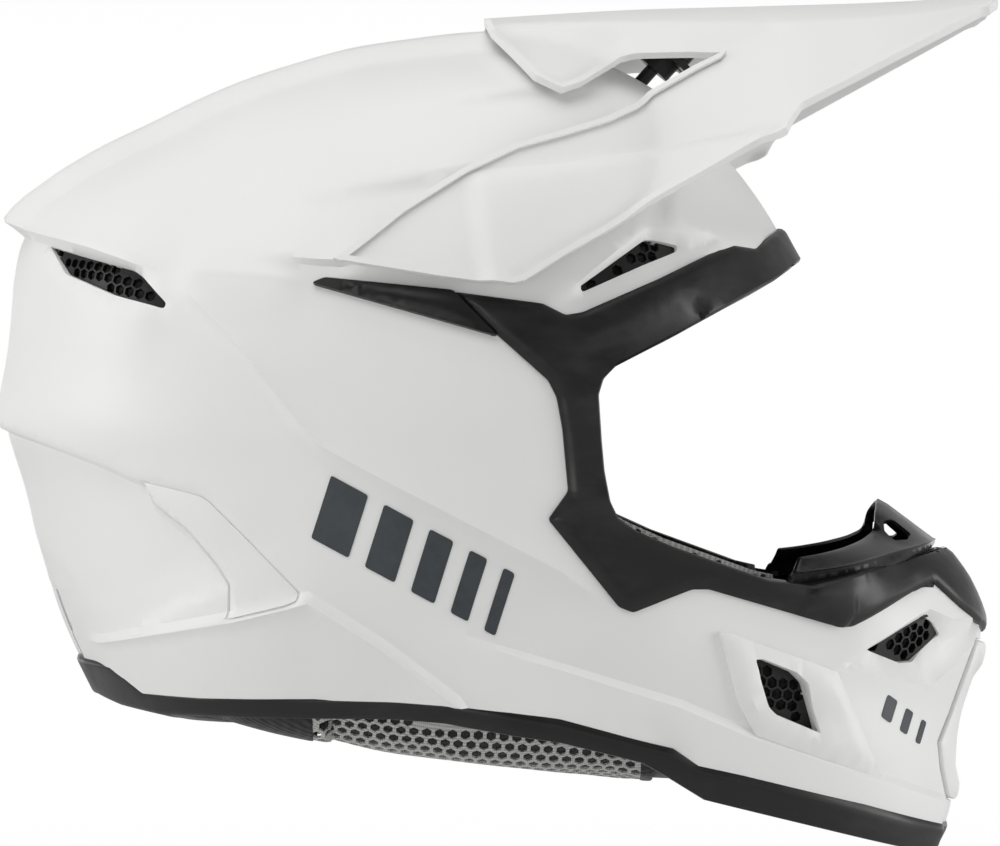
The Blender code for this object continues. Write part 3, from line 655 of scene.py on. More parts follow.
def open_foam(name):
    finish = Finish(name, Roughness=0.95)
    cells = finish.node("TexVoronoi", Scale=620.0)
    finish.join(finish.places, cells.inputs["Vector"])
    finish.colour(finish.ramp(cells.outputs["Distance"], [(0.1, 0.004), (0.6, 0.03)]))
    finish.bump(cells.outputs["Distance"], 0.5, 0.9)
    return finish.material


def waves(finish, scale, axis):
    made = finish.node("TexWave", wave_type="BANDS", bands_direction=axis, wave_profile="SIN")
    made.inputs["Scale"].default_value = scale
    finish.join(finish.places, made.inputs["Vector"])
    return made.outputs["Fac"]


def knit(name, base, pale, pitch, roughness=0.9):
    """A knitted face whose loops repeat every pitch millimetres."""
    finish = Finish(name, Roughness=roughness, Sheen_Weight=0.3, Sheen_Roughness=0.5)
    scale = math.pi / (10 * pitch * MM)
    rows = finish.math("MULTIPLY", waves(finish, scale, "X"), waves(finish, scale, "Z"))
    threads = finish.math("MAXIMUM", rows, finish.math("MULTIPLY", waves(finish, scale, "Y"), 0.7))
    uneven = finish.math("MULTIPLY", threads, finish.ramp(finish.noise(160, 3), [(0.2, 0.7), (0.8, 1.0)]))
    finish.colour(finish.ramp(uneven, [(0.1, base), (0.8, pale)]))
    finish.bump(uneven, 0.25, 0.8)
    return finish.material


def webbing_weave(name, base, pale, rib):
    """Woven tape: ribs across its width with a fine diagonal twill in them."""
    finish = Finish(name, Roughness=0.75, Sheen_Weight=0.2, Sheen_Roughness=0.45)
    across = waves(finish, math.pi / (10 * rib * MM), "Y")
    twill = waves(finish, math.pi / (10 * rib * 0.8 * MM), "DIAGONAL")
    woven = finish.math("ADD", finish.math("MULTIPLY", across, 0.6), finish.math("MULTIPLY", twill, 0.4))
    finish.colour(finish.ramp(woven, [(0.2, base), (0.9, pale)]))
    finish.bump(woven, 0.25, 0.8)
    return finish.material


def bare_steel(name):
    finish = Finish(name, Metallic=1.0)
    drawn = finish.noise(260, 3, (1, 6, 1))
    finish.colour(finish.ramp(drawn, [(0.3, (0.46, 0.46, 0.48)), (0.7, (0.66, 0.66, 0.68))]))
    finish.roughness(finish.ramp(drawn, [(0.3, 0.22), (0.75, 0.38)]))
    finish.bump(drawn, 0.02, 0.4)
    return finish.material


def printed(name, colour):
    """Ink on the lacquer, a little rougher than it."""
    finish = Finish(name, IOR=1.45)
    pale = tuple(min(1.0, value * 1.35) for value in colour)
    finish.colour(finish.ramp(finish.noise(240, 3), [(0.3, colour), (0.75, pale)]))
    finish.roughness(finish.ramp(finish.noise(120, 3), [(0.3, 0.4), (0.7, 0.52)]))
    return finish.material


FINISHES = {
    "shell": lacquer("matte_white_lacquer", (0.86, 0.86, 0.85), (0.84, 0.84, 0.83)),
    "trim": textured_plastic("satin_black_rubber", 0.006, 0.018, 0.3, 0.44, along=(0.7, 1, 1.8), coat=0.15),
    "fitting": textured_plastic("smooth_black_plastic", 0.008, 0.02, 0.26, 0.4, grain=2400),
    "guard": textured_plastic("glossy_black_plastic", 0.006, 0.012, 0.14, 0.24, grain=2600),
    "grille": textured_plastic("black_honeycomb_plastic", 0.008, 0.022, 0.32, 0.45, grain=2200),
    "beads": beaded_foam("dark_bead_foam", 0.018, 0.05),
    "filter": open_foam("black_filter_foam"),
    "lining": knit("black_lining_knit", 0.006, 0.035, 1.4),
    "silver_cord": knit("silver_mesh_cord", (0.3, 0.3, 0.29), (0.62, 0.62, 0.6), 0.7, roughness=0.6),
    "webbing": webbing_weave("black_webbing", 0.008, 0.035, 1.6),
    "thread": knit("dark_grey_thread", 0.05, 0.12, 0.5, roughness=0.7),
    "steel": bare_steel("brushed_steel"),
    "ink": printed("slate_print", (0.038, 0.044, 0.05)),
}


# ---- camera, light and floor

VIEW_CENTRE = (39.1, -90.0)  # X and Z
VIEW_WIDTH = 372.0
CAMERA_DISTANCE = 2200.0
SENSOR_WIDTH = 36.0

# How light the studio is from each side, against the sine of the direction: 0 is -1, and 1 is +1
WORLD_DEPTH = [(0.0, 0.12), (0.07, 0.16), (0.2, 0.28), (0.5, 0.36), (1.0, 0.38)]
WORLD_HORIZON = [(0.44, 0.0), (0.465, 1.0), (0.535, 1.0), (0.56, 0.0)]

LIGHT_AIM = (0.04, 0, -0.09)  # metres, as all that stands round the helmet
LIGHTS = {  # the place, the size and the power of each
    "key": ((-0.3, -0.9, 1.3), (1.2, 1.2), 9.3),
    "low": ((-0.5, -1.8, -0.08), (0.8, 0.25), 2.4),
    "top": ((0.0, 0.1, 1.7), (1.2, 1.2), 5.8),
    "rear": ((-1.7, -0.4, 0.3), (0.8, 1.2), 8.8),
    "front": ((1.7, -0.2, 0.05), (0.8, 1.0), 9.5),
}
FLOOR_SIZE, FLOOR_PLACE = 4.0, (0.04, 0, -0.56)


def build_camera():
    scene = bpy.context.scene
    camera = bpy.data.objects.new("camera", bpy.data.cameras.new("camera"))
    scene.collection.objects.link(camera)
    camera.location = Vector((VIEW_CENTRE[0], -CAMERA_DISTANCE, VIEW_CENTRE[1])) * MM
    camera.rotation_euler = (math.pi / 2, 0, 0)
    camera.data.sensor_width = SENSOR_WIDTH
    camera.data.lens = SENSOR_WIDTH * CAMERA_DISTANCE / VIEW_WIDTH
    camera.data.clip_start, camera.data.clip_end = 0.05, 30
    scene.camera = camera
    scene.view_settings.view_transform = "Standard"
    scene.view_settings.look = "None"


def build_world():
    """A studio that is light along the horizon, and darker towards the camera's side."""
    world = bpy.data.worlds.new("studio")
    bpy.context.scene.world = world
    world.use_nodes = True
    nodes, links = world.node_tree.nodes, world.node_tree.links
    direction = nodes.new("ShaderNodeTexCoord").outputs["Generated"]
    parts = nodes.new("ShaderNodeSeparateXYZ")
    links.new(direction, parts.inputs["Vector"])
    ramps = []
    for axis, stops in (("Y", WORLD_DEPTH), ("Z", WORLD_HORIZON)):
        place = nodes.new("ShaderNodeMapRange")
        place.inputs["From Min"].default_value, place.inputs["From Max"].default_value = -1, 1
        links.new(parts.outputs[axis], place.inputs["Value"])
        tones = nodes.new("ShaderNodeValToRGB")
        set_stops(tones, stops)
        links.new(place.outputs["Result"], tones.inputs["Fac"])
        ramps.append(tones.outputs["Color"])
    lighter = nodes.new("ShaderNodeMix")
    lighter.data_type, lighter.blend_type = "RGBA", "LIGHTEN"
    lighter.inputs["Factor"].default_value = 1.0
    for output, socket in zip(ramps, ("A", "B")):
        links.new(output, next(s for s in lighter.inputs if s.name == socket and s.type == "RGBA"))
    blended = next(s for s in lighter.outputs if s.type == "RGBA")
    links.new(blended, nodes["Background"].inputs["Color"])
    nodes["Background"].inputs["Strength"].default_value = 1.0


def build_lights():
    for name, (place, size, power) in LIGHTS.items():
        data = bpy.data.lights.new(name, "AREA")
        data.shape = "RECTANGLE"
        data.size, data.size_y = size
        data.energy = power
        made = bpy.data.objects.new(name, data)
        made.location = place
        made.rotation_euler = (Vector(LIGHT_AIM) - Vector(place)).to_track_quat("-Z", "Y").to_euler()
        bpy.context.scene.collection.objects.link(made)


def build_floor():
    bpy.ops.mesh.primitive_plane_add(size=FLOOR_SIZE, location=FLOOR_PLACE)
    floor = bpy.context.active_object
    floor.name = "floor"
    surface = Finish("pale_floor", Roughness=0.6)
    surface.colour(surface.ramp(surface.noise(3, 2), [(0.3, 0.78), (0.7, 0.8)]))
    floor.data.materials.append(surface.material)


# ---- the shell

SHELL_THICKNESS = 3.6
SHELL_MARGIN = 8.0  # how far the shell's own outline lies outside the disc
PORT_GAP = 5.0  # between the edges of the shell and of the trim
RIDGE_EDGE = 26.0  # |Y| of the raised band along the top
RIDGE_SPAN = (70.0, 151.4)  # degrees round the lateral axis
RIDGE_RISE, RIDGE_FLANK = 5.2, 8.5
RIDGE_PROFILE = [
    (-40, RIDGE_RISE), (-1.2, RIDGE_RISE), (0, RIDGE_RISE * 0.93), (RIDGE_FLANK / 2, RIDGE_RISE / 2),
    (RIDGE_FLANK, 0.25), (RIDGE_FLANK + 1.5, 0),
]

TAIL_EDGE = [(-141.5, -17.5), (-108, -27), (-91, -33), (-78, -37)]
SIDE_CREASE = [
    (-78, -37), (-54, -62), (-30, -92), (-24, -98), (4, -113), (39, -131), (60, -142), (81, -157),
]
PANEL_TOP = [(-78, -37), (-62, -37), (-39, -39), (-24, -42)]
REAR_CREASE = [
    (-145, -91), (-131, -95), (-107, -103), (-87, -111), (-83, -119), (-71, -128), (-60, -141),
    (-56, -147), (-56, -158),
]
LOWER_CREASE = [(-112, -169), (-55, -159), (-35, -154), (-28, -152), (-3, -168), (23, -187)]
SKIRT = [(0, -157), (21, -164), (62, -176), (103, -189), (128, -200), (176, -217), (204, -228)]
SKIRT_NOTCH = [(92, -191), (103, -205), (109, -208)]
STEP_UPPER = [(-17, 17), (14, 23), (49, 29)]
STEP_MIDDLE = [(-52, -16), (-14, -7), (26, -1)]
STEP_LOWER = [(-52, -31), (-35, -33), (-17, -34)]
BROW_FACET = [(96, -13), (120, -26), (130, -26)]
BROW_RECESS = [(62, -48), (93, -22), (115, -25), (107, -32), (71, -49)]
CHIN_RECESS = [
    (161, -178), (168, -174), (198, -159), (206, -163), (216, -163), (213, -170), (196, -184),
    (189, -183), (169, -178),
]
CHIN_LEAN = [(163, -146), (203, -136), (262, -122)]
SKIRT_FLARE = (SKIRT, [(-22, 9.6), (-1.8, 3.0), (-0.7, 2.7), (0.5, 0)], (26, 10))  # out, towards the rim
CHIN_LEAN_BACK = (CHIN_LEAN, [(-26, 0), (-18, -1.2), (-8, -5.0), (0, -9.0), (14, -9.0)], (28, 0))
FOLDS = [  # each fold's line, its profile, and how far in from each end it grows
    (TAIL_EDGE, [(-20, 0), (-8, -1.0), (-2.4, -1.5), (-0.4, 1.5), (0.8, 2.0), (15, 0.8), (32, 0)], (0, 16)),
    (SIDE_CREASE, [(-30, 0), (-14, -1.6), (-4, -2.2), (-1.1, -0.6), (0, 1.0), (1.1, 0.5), (7, 0)], (14, 8)),
    (PANEL_TOP, [(-16, 0), (-1.0, 2.0), (0, 2.3), (1.2, 2.1), (26, 0)], (8, 12)),
    (REAR_CREASE, [(-44, 0), (-14, -2.8), (-3, -3.0), (-0.8, -0.2), (0.2, 0.3), (6, 0)], (0, 28)),
    (LOWER_CREASE, [(-26, 0), (-1.8, 3.0), (-0.5, 4.2), (0.5, 3.8), (1.9, 1.5), (16, 0)], (22, 0)),
    SKIRT_FLARE,
    (SKIRT_NOTCH, [(-6, 0), (-0.6, -0.7), (0.6, 0)], (3, 3)),
    (STEP_UPPER, [(-2.4, 0), (0.8, 2.0), (14, 1.2), (30, 0)], (60, 0)),
    (STEP_MIDDLE, [(-3.0, 0), (0.8, 2.5), (14, 1.4), (27, 0)], (75, 0)),
    (STEP_LOWER, [(-0.8, 0), (0.6, 2.4), (9, 0.9), (16, 0)], (26, 0)),
    (BROW_FACET, [(-12, 0), (-0.8, 1.8), (0.8, 1.9), (14, 0)], (4, 0)),
]
BROW_RECESS_PROFILE = [(-2, 0), (0.8, -1.9), (2, -2.2)]
CHIN_RECESS_PROFILE = [(-4, 0), (-0.8, 0.9), (0.8, -1.4), (5, -3.8)]
POCKET_PROFILE = [(-0.7, 0), (-0.4, -1.3), (0.6, -1.5)]  # of the seat of the panel at the rear
EXHAUST_ANGLES, EXHAUST_WIDTHS = (203.0, 216.5), (9.0, 34.0)


def exhaust_outline():
    (low, high), (near, far) = EXHAUST_ANGLES, EXHAUST_WIDTHS
    corners = skin.at_width([near, far, far * 0.8, near], [low, low + 2, high, high])
    return rounded(resampled(corners, 5, closed=True), 1.5, closed=True, steps=2)


def fold(line, profile, fade):
    """A crease along an open side-view line."""
    return Crease(on_skin(line), profile, fade=fade)


def recess(line, profile):
    """A crease round a closed side-view line, with the profile's last height all over its inside."""
    return Crease(on_skin(line, True), profile, closed=True, level=profile[-1][1])


def shell_creases():
    ridge = skin.at_width(RIDGE_EDGE, np.linspace(*RIDGE_SPAN, 36))
    ridge_end = skin.at_width(np.linspace(0, RIDGE_EDGE + 3, 8), [RIDGE_SPAN[1]] * 8)
    return [
        Crease(ridge, RIDGE_PROFILE, fade=(15, 1.2)),
        Crease(ridge_end, [(-0.8, 0), (0.5, 1.5), (18, 0)]),
        *[fold(*row) for row in FOLDS],
        recess(BROW_RECESS, BROW_RECESS_PROFILE),
        fold(*CHIN_LEAN_BACK),
        recess(CHIN_RECESS, CHIN_RECESS_PROFILE),
    ]


MOUTH_EDGE = [(214, -170), (209, -183), (204, -196.5), (199.5, -207), (200.5, -216), (203.4, -227)]
MOUTH_GAP = 0.7


def mouthpiece_outline():
    """The chart outline of the piece in the middle of the chin bar, across the plane of symmetry."""
    edge = on_skin(MOUTH_EDGE)
    start, end = (np.degrees(np.arctan2(y, x)) for x, y in (edge[0], edge[-1]))
    return across_plane(edge, start, end)


def build_shell():
    seats = (BROW_VENT, REAR_VENT, CHIN_VENT, UPPER_CHIN_VENT)
    vents = [soft_edge(outline, 1.2) for outline in seats] + [exhaust_outline()]
    port = on_skin(grown(PORT, PORT_GAP), True)
    mouth = grown(mouthpiece_outline(), MOUTH_GAP)
    pocket = recess(REAR_PANEL, POCKET_PROFILE)
    shell = patch(
        "shell_skin", skin, disc(CHART_RADIUS + SHELL_MARGIN), "shell",
        holes=[below(SHELL_BOTTOM), port, mouth, *vents],
        creases=[*shell_creases(), pocket, *[edge_round(vent) for vent in vents]],
        spacing=2.5, thickness=SHELL_THICKNESS, centred=True,
    )
    belongs(shell, "helmet", "outer_shell")


# ---- trims

TRIM_HEIGHT, TRIM_THICKNESS = 2.6, 2.0
PORT_WALL = [(0.9, 0.7), (4.0, 1.0), (15.0, 1.0)]
BROW_RIDGE = [(76, -63), (89, -58), (110, -51), (129, -46), (142, -42), (160, -30)]
CHEEK_RIDGE = [
    (60, -65), (69, -82), (71, -96), (72, -110), (76, -116), (82, -128), (96, -136), (114, -143),
    (132, -149),
]
CHIN_RIDGE = [(132, -149), (149, -151), (175, -146), (203, -139), (230, -132)]
CHIN_FACET = [(149, -150), (163, -163)]
TRIM_FOLDS = [
    (BROW_RIDGE, [(-19, -1.8), (-9, -1.8), (-1.2, -0.4), (0.4, 0)], (12, 0)),
    (CHEEK_RIDGE, [(-2, 0), (0, 0), (1.5, -0.3), (9, -1.6), (16, -1.8)], (3, 10)),
    (CHIN_RIDGE, [(-1.5, 0), (0, 0), (1.4, -0.6), (8, -2.2), (14, -2.4)], (10, 0)),
    (CHIN_FACET, [(-14, 0), (-0.6, 0.9), (0.6, 0.9), (20, 0)], (1, 1)),
    CHIN_LEAN_BACK,
]
RIM_HEIGHT = 1.3
RIM_LAP = 0.9  # how far the rim reaches up over the shell's lower edge
RIM_WALL = [(0.8, 0.5), (2.5, 0.7), (9.0, 0.7)]


def near_line(line, reach):
    """A test for chart points that lie within reach of a chart line."""
    tree = flat_tree(resampled(line, 1.5))
    return lambda chart: np.array([tree.find((x, y, 0))[2] < reach for x, y in chart])


def build_port_trim():
    outer, port = soft_edge(TRIM_OUTER, 0.8), soft_edge(PORT, 0.8)
    outer_edge = Crease(outer, [(0, -1.7), (0.7, -0.7), (1.8, -0.15), (3, 0)], closed=True)
    trim = patch(
        "eyeport_edge_trim", skin, outer, "trim", holes=[port],
        creases=[outer_edge, *[fold(*row) for row in TRIM_FOLDS]], base=TRIM_HEIGHT, spacing=2.6,
        thickness=TRIM_THICKNESS, wall=PORT_WALL, wall_where=near_line(np.vstack([port, port[:1]]), 0.6),
        centred=True,
    )
    belongs(trim, "helmet", "eyeport_trim")


def build_rim():
    top = [(x, z + RIM_LAP) for x, z in SHELL_BOTTOM]
    outline = on_skin([*top, *TRIM_BOTTOM[::-1]], True)
    lower = on_skin(TRIM_BOTTOM)
    rim = patch(
        "bottom_rubber_rim", skin, outline, "trim",
        creases=[
            Crease(on_skin(top), [(-2.0, 0), (-1.0, -0.1), (-0.4, -0.6), (0, -1.3)]),
            Crease(lower, [(0, -0.6), (0.7, -0.15), (1.6, 0)]),
            fold(*SKIRT_FLARE),
        ],
        base=RIM_HEIGHT, spacing=2.6, thickness=TRIM_THICKNESS, wall=RIM_WALL,
        wall_where=near_line(lower, 0.5), centred=True,
    )
    belongs(rim, "helmet", "bottom_edge_trim")


# ---- vents, bezels and small panels

CELL_PITCH, CELL_WEB = 4.6, 0.75
CELL_INSET = 0.9  # a cell's middle lies at least this far inside the outline
GRILLE_THICKNESS = 1.8
GRILLE_MARGIN = 2.6  # how far a grille reaches past its opening
BACKING_GAP = 3.5  # from the front of a grille to the foam behind it
VENTS = {  # each vent's outline, the turn of its cells in degrees, and its grille's height on the skin
    "brow_vent": (on_skin(BROW_VENT, True), 10, -4.2),
    "rear_vent": (on_skin(REAR_VENT, True), -14, -4.2),
    "chin_vent": (on_skin(CHIN_VENT, True), -20, -3.4),
    "upper_chin_vent": (on_skin(UPPER_CHIN_VENT, True), 25, -6.4),
    "exhaust_vent": (exhaust_outline(), 0, -2.6),
}
BEZEL_PROFILE = [(0, -1.2), (0.8, -0.2), (2.2, 0.5), (4.0, 0.5), (6.0, -0.6), (13, -3.4)]


def hexagon(centre, radius, turn):
    """The corners of a hexagon, the first one at an angle of turn degrees."""
    angles = np.radians(np.arange(6) * 60 + turn)
    return centre + radius * np.column_stack([np.cos(angles), np.sin(angles)])


def true_shape(chart_of, middle):
    """The matrix that turns small steps on the surface, in mm, into steps in the chart round middle."""
    reach = 0.5
    steps = np.array([(reach, 0), (-reach, 0), (0, reach), (0, -reach)]) + middle
    right, left, high, low = chart_of.point(steps)
    slopes = np.column_stack([right - left, high - low]) / (2 * reach)
    values, vectors = np.linalg.eigh(slopes.T @ slopes)
    return vectors @ np.diag(values**-0.5) @ vectors.T


def regular_cells(chart_of, outline, turn, pitch=CELL_PITCH, web=CELL_WEB, middle=None):
    """Hexagons that are regular on the surface, all over an outline."""
    middle = outline.mean(0) if middle is None else middle
    shape = true_shape(chart_of, middle)
    lean = math.radians(turn)
    rotation = np.array([[math.cos(lean), -math.sin(lean)], [math.sin(lean), math.cos(lean)]])
    reach = np.abs((outline - middle) @ np.linalg.inv(shape).T).max() * 1.5 + 2 * pitch
    centres = hexagonal_grid((-reach, -reach), (reach, reach), pitch) @ rotation.T
    corners = hexagon(np.zeros(2), (pitch - web) / math.sqrt(3), 30 + turn)
    placed = centres @ shape.T + middle
    near = inside(placed, grown(outline, -CELL_INSET))
    return [centre + corners @ shape.T for centre in placed[near]]


def build_grilles():
    """Thin walls between hexagonal cells, just below the surface, with a sheet of black foam behind them."""
    for label, side in SIDES.items():
        for name, (outline, turn, depth) in VENTS.items():
            grille = patch(
                f"{name}_honeycomb_{label}", skin, grown(outline, GRILLE_MARGIN), "grille",
                holes=regular_cells(skin, outline, turn), base=depth, spacing=6.0,
                thickness=GRILLE_THICKNESS, side=side,
            )
            belongs(grille, "helmet", f"{name}_grille_{label}")
            backing = patch(
                f"{name}_backing_{label}", skin, grown(outline, 2.5), "filter",
                base=depth - BACKING_GAP, spacing=4.0, thickness=2.0, side=side,
            )
            belongs(backing, "helmet")


def build_small_panels():
    bezel_edge, bezel_hole = soft_edge(CHIN_BEZEL, 1.5), soft_edge(CHIN_VENT, 1.5)
    bezel_face = Crease(bezel_edge, BEZEL_PROFILE, closed=True, level=BEZEL_PROFILE[-1][1])
    panel_edge, cover_edge = soft_edge(REAR_PANEL, 1.0), soft_edge(SIDE_COVER, 0.8)
    for label, side in SIDES.items():
        frame_piece = patch(
            f"chin_vent_frame_{label}", skin, bezel_edge, "shell", holes=[bezel_hole],
            creases=[bezel_face, edge_round(bezel_hole, 1.0, 1.8)], base=3.3, spacing=2.2, thickness=1.6,
            side=side, wall=[(0.6, 0.2), (2.6, 0.2)],
        )
        belongs(frame_piece, "helmet", f"chin_vent_bezel_{label}")
        leaf = patch(
            f"rear_leaf_panel_{label}", skin, panel_edge, "shell",
            creases=[edge_drop(panel_edge, 0.7, 1.4), *shell_creases()], base=0.35, spacing=2.2,
            thickness=1.5, side=side, wall=[(1.6, 0)],
        )
        belongs(leaf, "helmet", f"rear_side_panel_{label}")
        cover = patch(
            f"side_cover_plate_{label}", skin, cover_edge, "fitting",
            creases=[edge_drop(cover_edge, 1.0, 2.2)], base=3.3, spacing=2.2, thickness=1.4,
            side=side, wall=[(2.8, 0.2)],
        )
        belongs(cover, "helmet", f"side_screw_cover_{label}")


MOUTH_SLOT, MOUTH_SLOT_WIDTH = (-30.0, -23.0), 17.0  # angles round the lateral axis, and |Y|
SLOT_PROFILE = [(-5, 0), (0, -2.4)]
MOUTH_GRILLE_MARGIN, MOUTH_GRILLE_TURN = 1.4, 0.4  # past the slot, in millimetres and in degrees


def build_mouthpiece():
    outline = mouthpiece_outline()
    slot = band_outline(MOUTH_SLOT_WIDTH, *MOUTH_SLOT)
    slot_edge = Crease(slot, SLOT_PROFILE, closed=True, level=SLOT_PROFILE[-1][1])
    piece = patch(
        "chin_front_piece", skin, outline, "shell", holes=[slot],
        creases=[edge_drop(outline, 1.0, 2.2), slot_edge], base=2.3, spacing=2.2, thickness=1.8,
        wall=[(0.8, 0.2), (3.0, 0.2)], centred=True,
    )
    belongs(piece, "helmet", "mouthpiece")


def build_mouth_grille():
    """The grille behind the slot, a little larger than it, with cells that run across the middle."""
    low, high = MOUTH_SLOT[0] - MOUTH_GRILLE_TURN, MOUTH_SLOT[1] + MOUTH_GRILLE_TURN
    outline = band_outline(MOUTH_SLOT_WIDTH + MOUTH_GRILLE_MARGIN, low, high, over=0)
    far_corner = (CHART_RADIUS + 8, outline.max(0)[1] + 4)
    centres = hexagonal_grid(outline.min(0) - 4, far_corner, CELL_PITCH)
    radius = (CELL_PITCH - CELL_WEB) / math.sqrt(3)
    near = inside(centres, grown(outline, 5)) & (np.linalg.norm(centres, axis=1) < CHART_RADIUS + 3)
    cells = [hexagon(centre, radius, 30) for centre in centres[near]]
    grille = patch(
        "mouth_honeycomb", skin, outline, "grille", holes=cells, base=-2.2, spacing=6.0,
        thickness=GRILLE_THICKNESS, centred=True,
    )
    belongs(grille, "helmet", "mouth_grille")


# ---- the peak


class PeakChart:
    """The peak's chart: X along it, and the way down its side, from 0 in the middle to PEAK_REACH."""

    limit = None

    def point(self, chart):
        return peak_surface(chart[:, 0], chart[:, 1])

    @staticmethod
    def to_chart(side_view):
        """Chart points of side-view points (X, Z) on the peak's side."""
        x, z = np.atleast_2d(np.array(side_view, float)).T
        u = x.copy()
        for _ in range(6):
            (_, band_z), (edge_y, edge_z) = curve_at(PEAK_BAND, u), curve_at(PEAK_EDGE, u)
            share = (z - band_z) / (edge_z - band_z)
            v = PEAK_MIDDLE + (PEAK_REACH - PEAK_MIDDLE) * share
            y = peak_surface(u, v)[:, 1]
            u = x + curve_at(PEAK_BOW, u)[0] * (y / edge_y) ** 2
        return np.column_stack([u, v])


PEAK_REACH, PEAK_MIDDLE = 120.0, 30.0
PEAK_TOP = [(30, 57.8), (45, 58.8), (87, 61.3), (134, 62.7), (190, 64.6), (218, 66.6), (224, 67)]
PEAK_BAND = [  # X, |Y| and Z of the middle band's edge
    (30, 32, 53.8), (60, 32, 54.6), (90, 31, 55), (138, 31, 55), (200, 27, 59.5), (224, 22, 63.6)
]
PEAK_EDGE = [  # X, |Y| and Z of a line a little below the lower edge
    (-25, 115.5, -44), (20, 117, -47), (50, 116.5, -46), (60, 113, -40), (88, 104, -24), (125, 93, -5),
    (146, 86, 12), (170, 74, 25), (197, 59, 39), (224, 42, 54),
]
PEAK_BOW = [(150, 0), (170, 0.5), (200, 2.5), (224, 6)]  # X, how far the sides lie behind the middle
PEAK_CLEARANCE = [  # X, and how far the side lies off the skin at its top and at its lower edge
    (-20, 5.5, 6.4), (20, 3.8, 6.4), (60, 3.8, 6.4), (110, 5, 7.5),
]
EASING = 3.0  # rounds the bend between the straight side and the part that follows the skin


def peak_surface(x, v):
    (top,) = curve_at(PEAK_TOP, x)
    (band_y, band_z), (edge_y, edge_z) = curve_at(PEAK_BAND, x), curve_at(PEAK_EDGE, x)
    upper, lower = curve_at(PEAK_CLEARANCE, x)
    middle = np.clip(v / PEAK_MIDDLE, 0, 1)
    share = np.maximum((v - PEAK_MIDDLE) / (PEAK_REACH - PEAK_MIDDLE), 0)
    z = np.where(v < PEAK_MIDDLE, top - (top - band_z) * middle**1.8, band_z + (edge_z - band_z) * share)
    straight = np.where(v < PEAK_MIDDLE, band_y * middle, band_y + (edge_y - band_y) * share)
    hugging = skin.half_width(x, z, upper + (lower - upper) * np.minimum(share, 1) ** 3)
    hugging = np.where(v < PEAK_MIDDLE, 0, hugging)
    y = (straight + hugging + np.sqrt((straight - hugging) ** 2 + EASING**2 * (hugging > 1))) / 2
    y = np.where(v < PEAK_MIDDLE, straight, y)
    (bow,) = curve_at(PEAK_BOW, x)
    return np.column_stack([x - bow * (y / edge_y) ** 2, -y, z])


PEAK_LOWER = [  # from the wing's rear tip forwards
    (-19, -33.4), (18, -39.4), (42.6, -42.6), (46.5, -41.8), (60.3, -33), (92.4, -15.4), (125, 2.3),
    (134, 7), (142.5, 13), (144.5, 17), (148, 22), (197, 48.3), (216, 58.6), (219, 59.4), (222, 61.6),
]
WING_TOP = [(-16, -32), (4, -16), (26, -2), (44, 7), (61, 12), (76, 17), (86, 22), (91, 26), (120, 43)]
WINDOW_TOP = [(87, 42), (83, 41), (68, 31), (61, 28.5), (51, 32.6), (36, 49.8), (33.5, 55)]
PEAK_FRONT, PEAK_REAR = 224.0, 33.5
PEAK_BLADE = [(25, -2), (60, 1.5), (100, 8), (145, 17)]  # the upper facet's lower edge
WINDOW_FOLDS = ([(61, 29), (87, 53)], [(120, 43.5), (143, 56)])
PEAK_THICKNESS = 2.2
BLADE_PROFILE = [(-3, 0), (0, 0), (0.8, -0.4), (4.5, -2.4), (12, -2.8), (120, -2.8)]
WINDOW_FOLD_PROFILE = [(-12, 0), (-0.8, 1.0), (0.8, 1.0), (12, 0)]


def build_peak():
    chart = PeakChart()
    lower, wing_top, window_top, blade = (
        chart.to_chart(resampled(line, 4)) for line in (PEAK_LOWER, WING_TOP, WINDOW_TOP, PEAK_BLADE)
    )
    front = [(PEAK_FRONT, 0), (PEAK_FRONT, lower[-1][1])]
    outline = np.vstack([front, lower[::-1], wing_top, window_top, [(PEAK_REAR, 0)]])
    band = np.array([(PEAK_REAR - 4, PEAK_MIDDLE), (PEAK_FRONT + 4, PEAK_MIDDLE)])
    open_edge = np.vstack([front[1:], lower[::-1], wing_top, window_top])
    folds = [chart.to_chart(resampled(line, 4)) for line in WINDOW_FOLDS]
    peak = patch(
        "peak_blade", chart, outline, "shell", spacing=2.8, thickness=PEAK_THICKNESS,
        creases=[
            Crease(open_edge, [(0, -0.9), (0.7, -0.3), (1.8, 0)]),
            Crease(band, [(-3, 0), (0, 0), (3, 0)]),  # flat: it only puts mesh edges along the band's edge
            Crease(blade, BLADE_PROFILE, fade=(8, 6)),
            *[Crease(line, WINDOW_FOLD_PROFILE, fade=(0, 6)) for line in folds],
        ],
        wall=[(0.8, 0.2), (3.2, 0.2)], wall_where=near_line(open_edge, 0.8), centred=True,
    )
    belongs(peak, "peak", "peak")


# ---- the nose guard

GUARD_LOWER = [  # share of the way from the rear end to the middle, then X, |Y| and Z
    (0, 141, 85, -149), (20, 162, 77, -147), (38, 175, 67.5, -143.6), (60, 188, 50, -139.8),
    (80, 197, 28, -136.6), (100, 200.5, 0, -135.8),
]
GUARD_RIDGE = [
    (0, 143.5, 84, -143.9), (20, 161.5, 77.4, -141.6), (38, 174, 69, -138.9), (60, 187, 52.6, -135.8),
    (80, 196.5, 29.4, -133.9), (100, 201, 0, -133.3),
]
GUARD_UPPER = [
    (0, 147, 77.5, -137.8), (20, 156, 69.5, -136.2), (38, 165, 56.5, -134), (54, 172.6, 40, -131),
    (62, 175.4, 33, -128.8), (66, 176.2, 31, -126.6), (74, 177.4, 25, -122.8), (86, 179, 13, -119.4),
    (100, 180, 0, -117.6),
]
GUARD_LEVELS = (0.0, 4.0, 14.0)  # the rows' heights in the chart
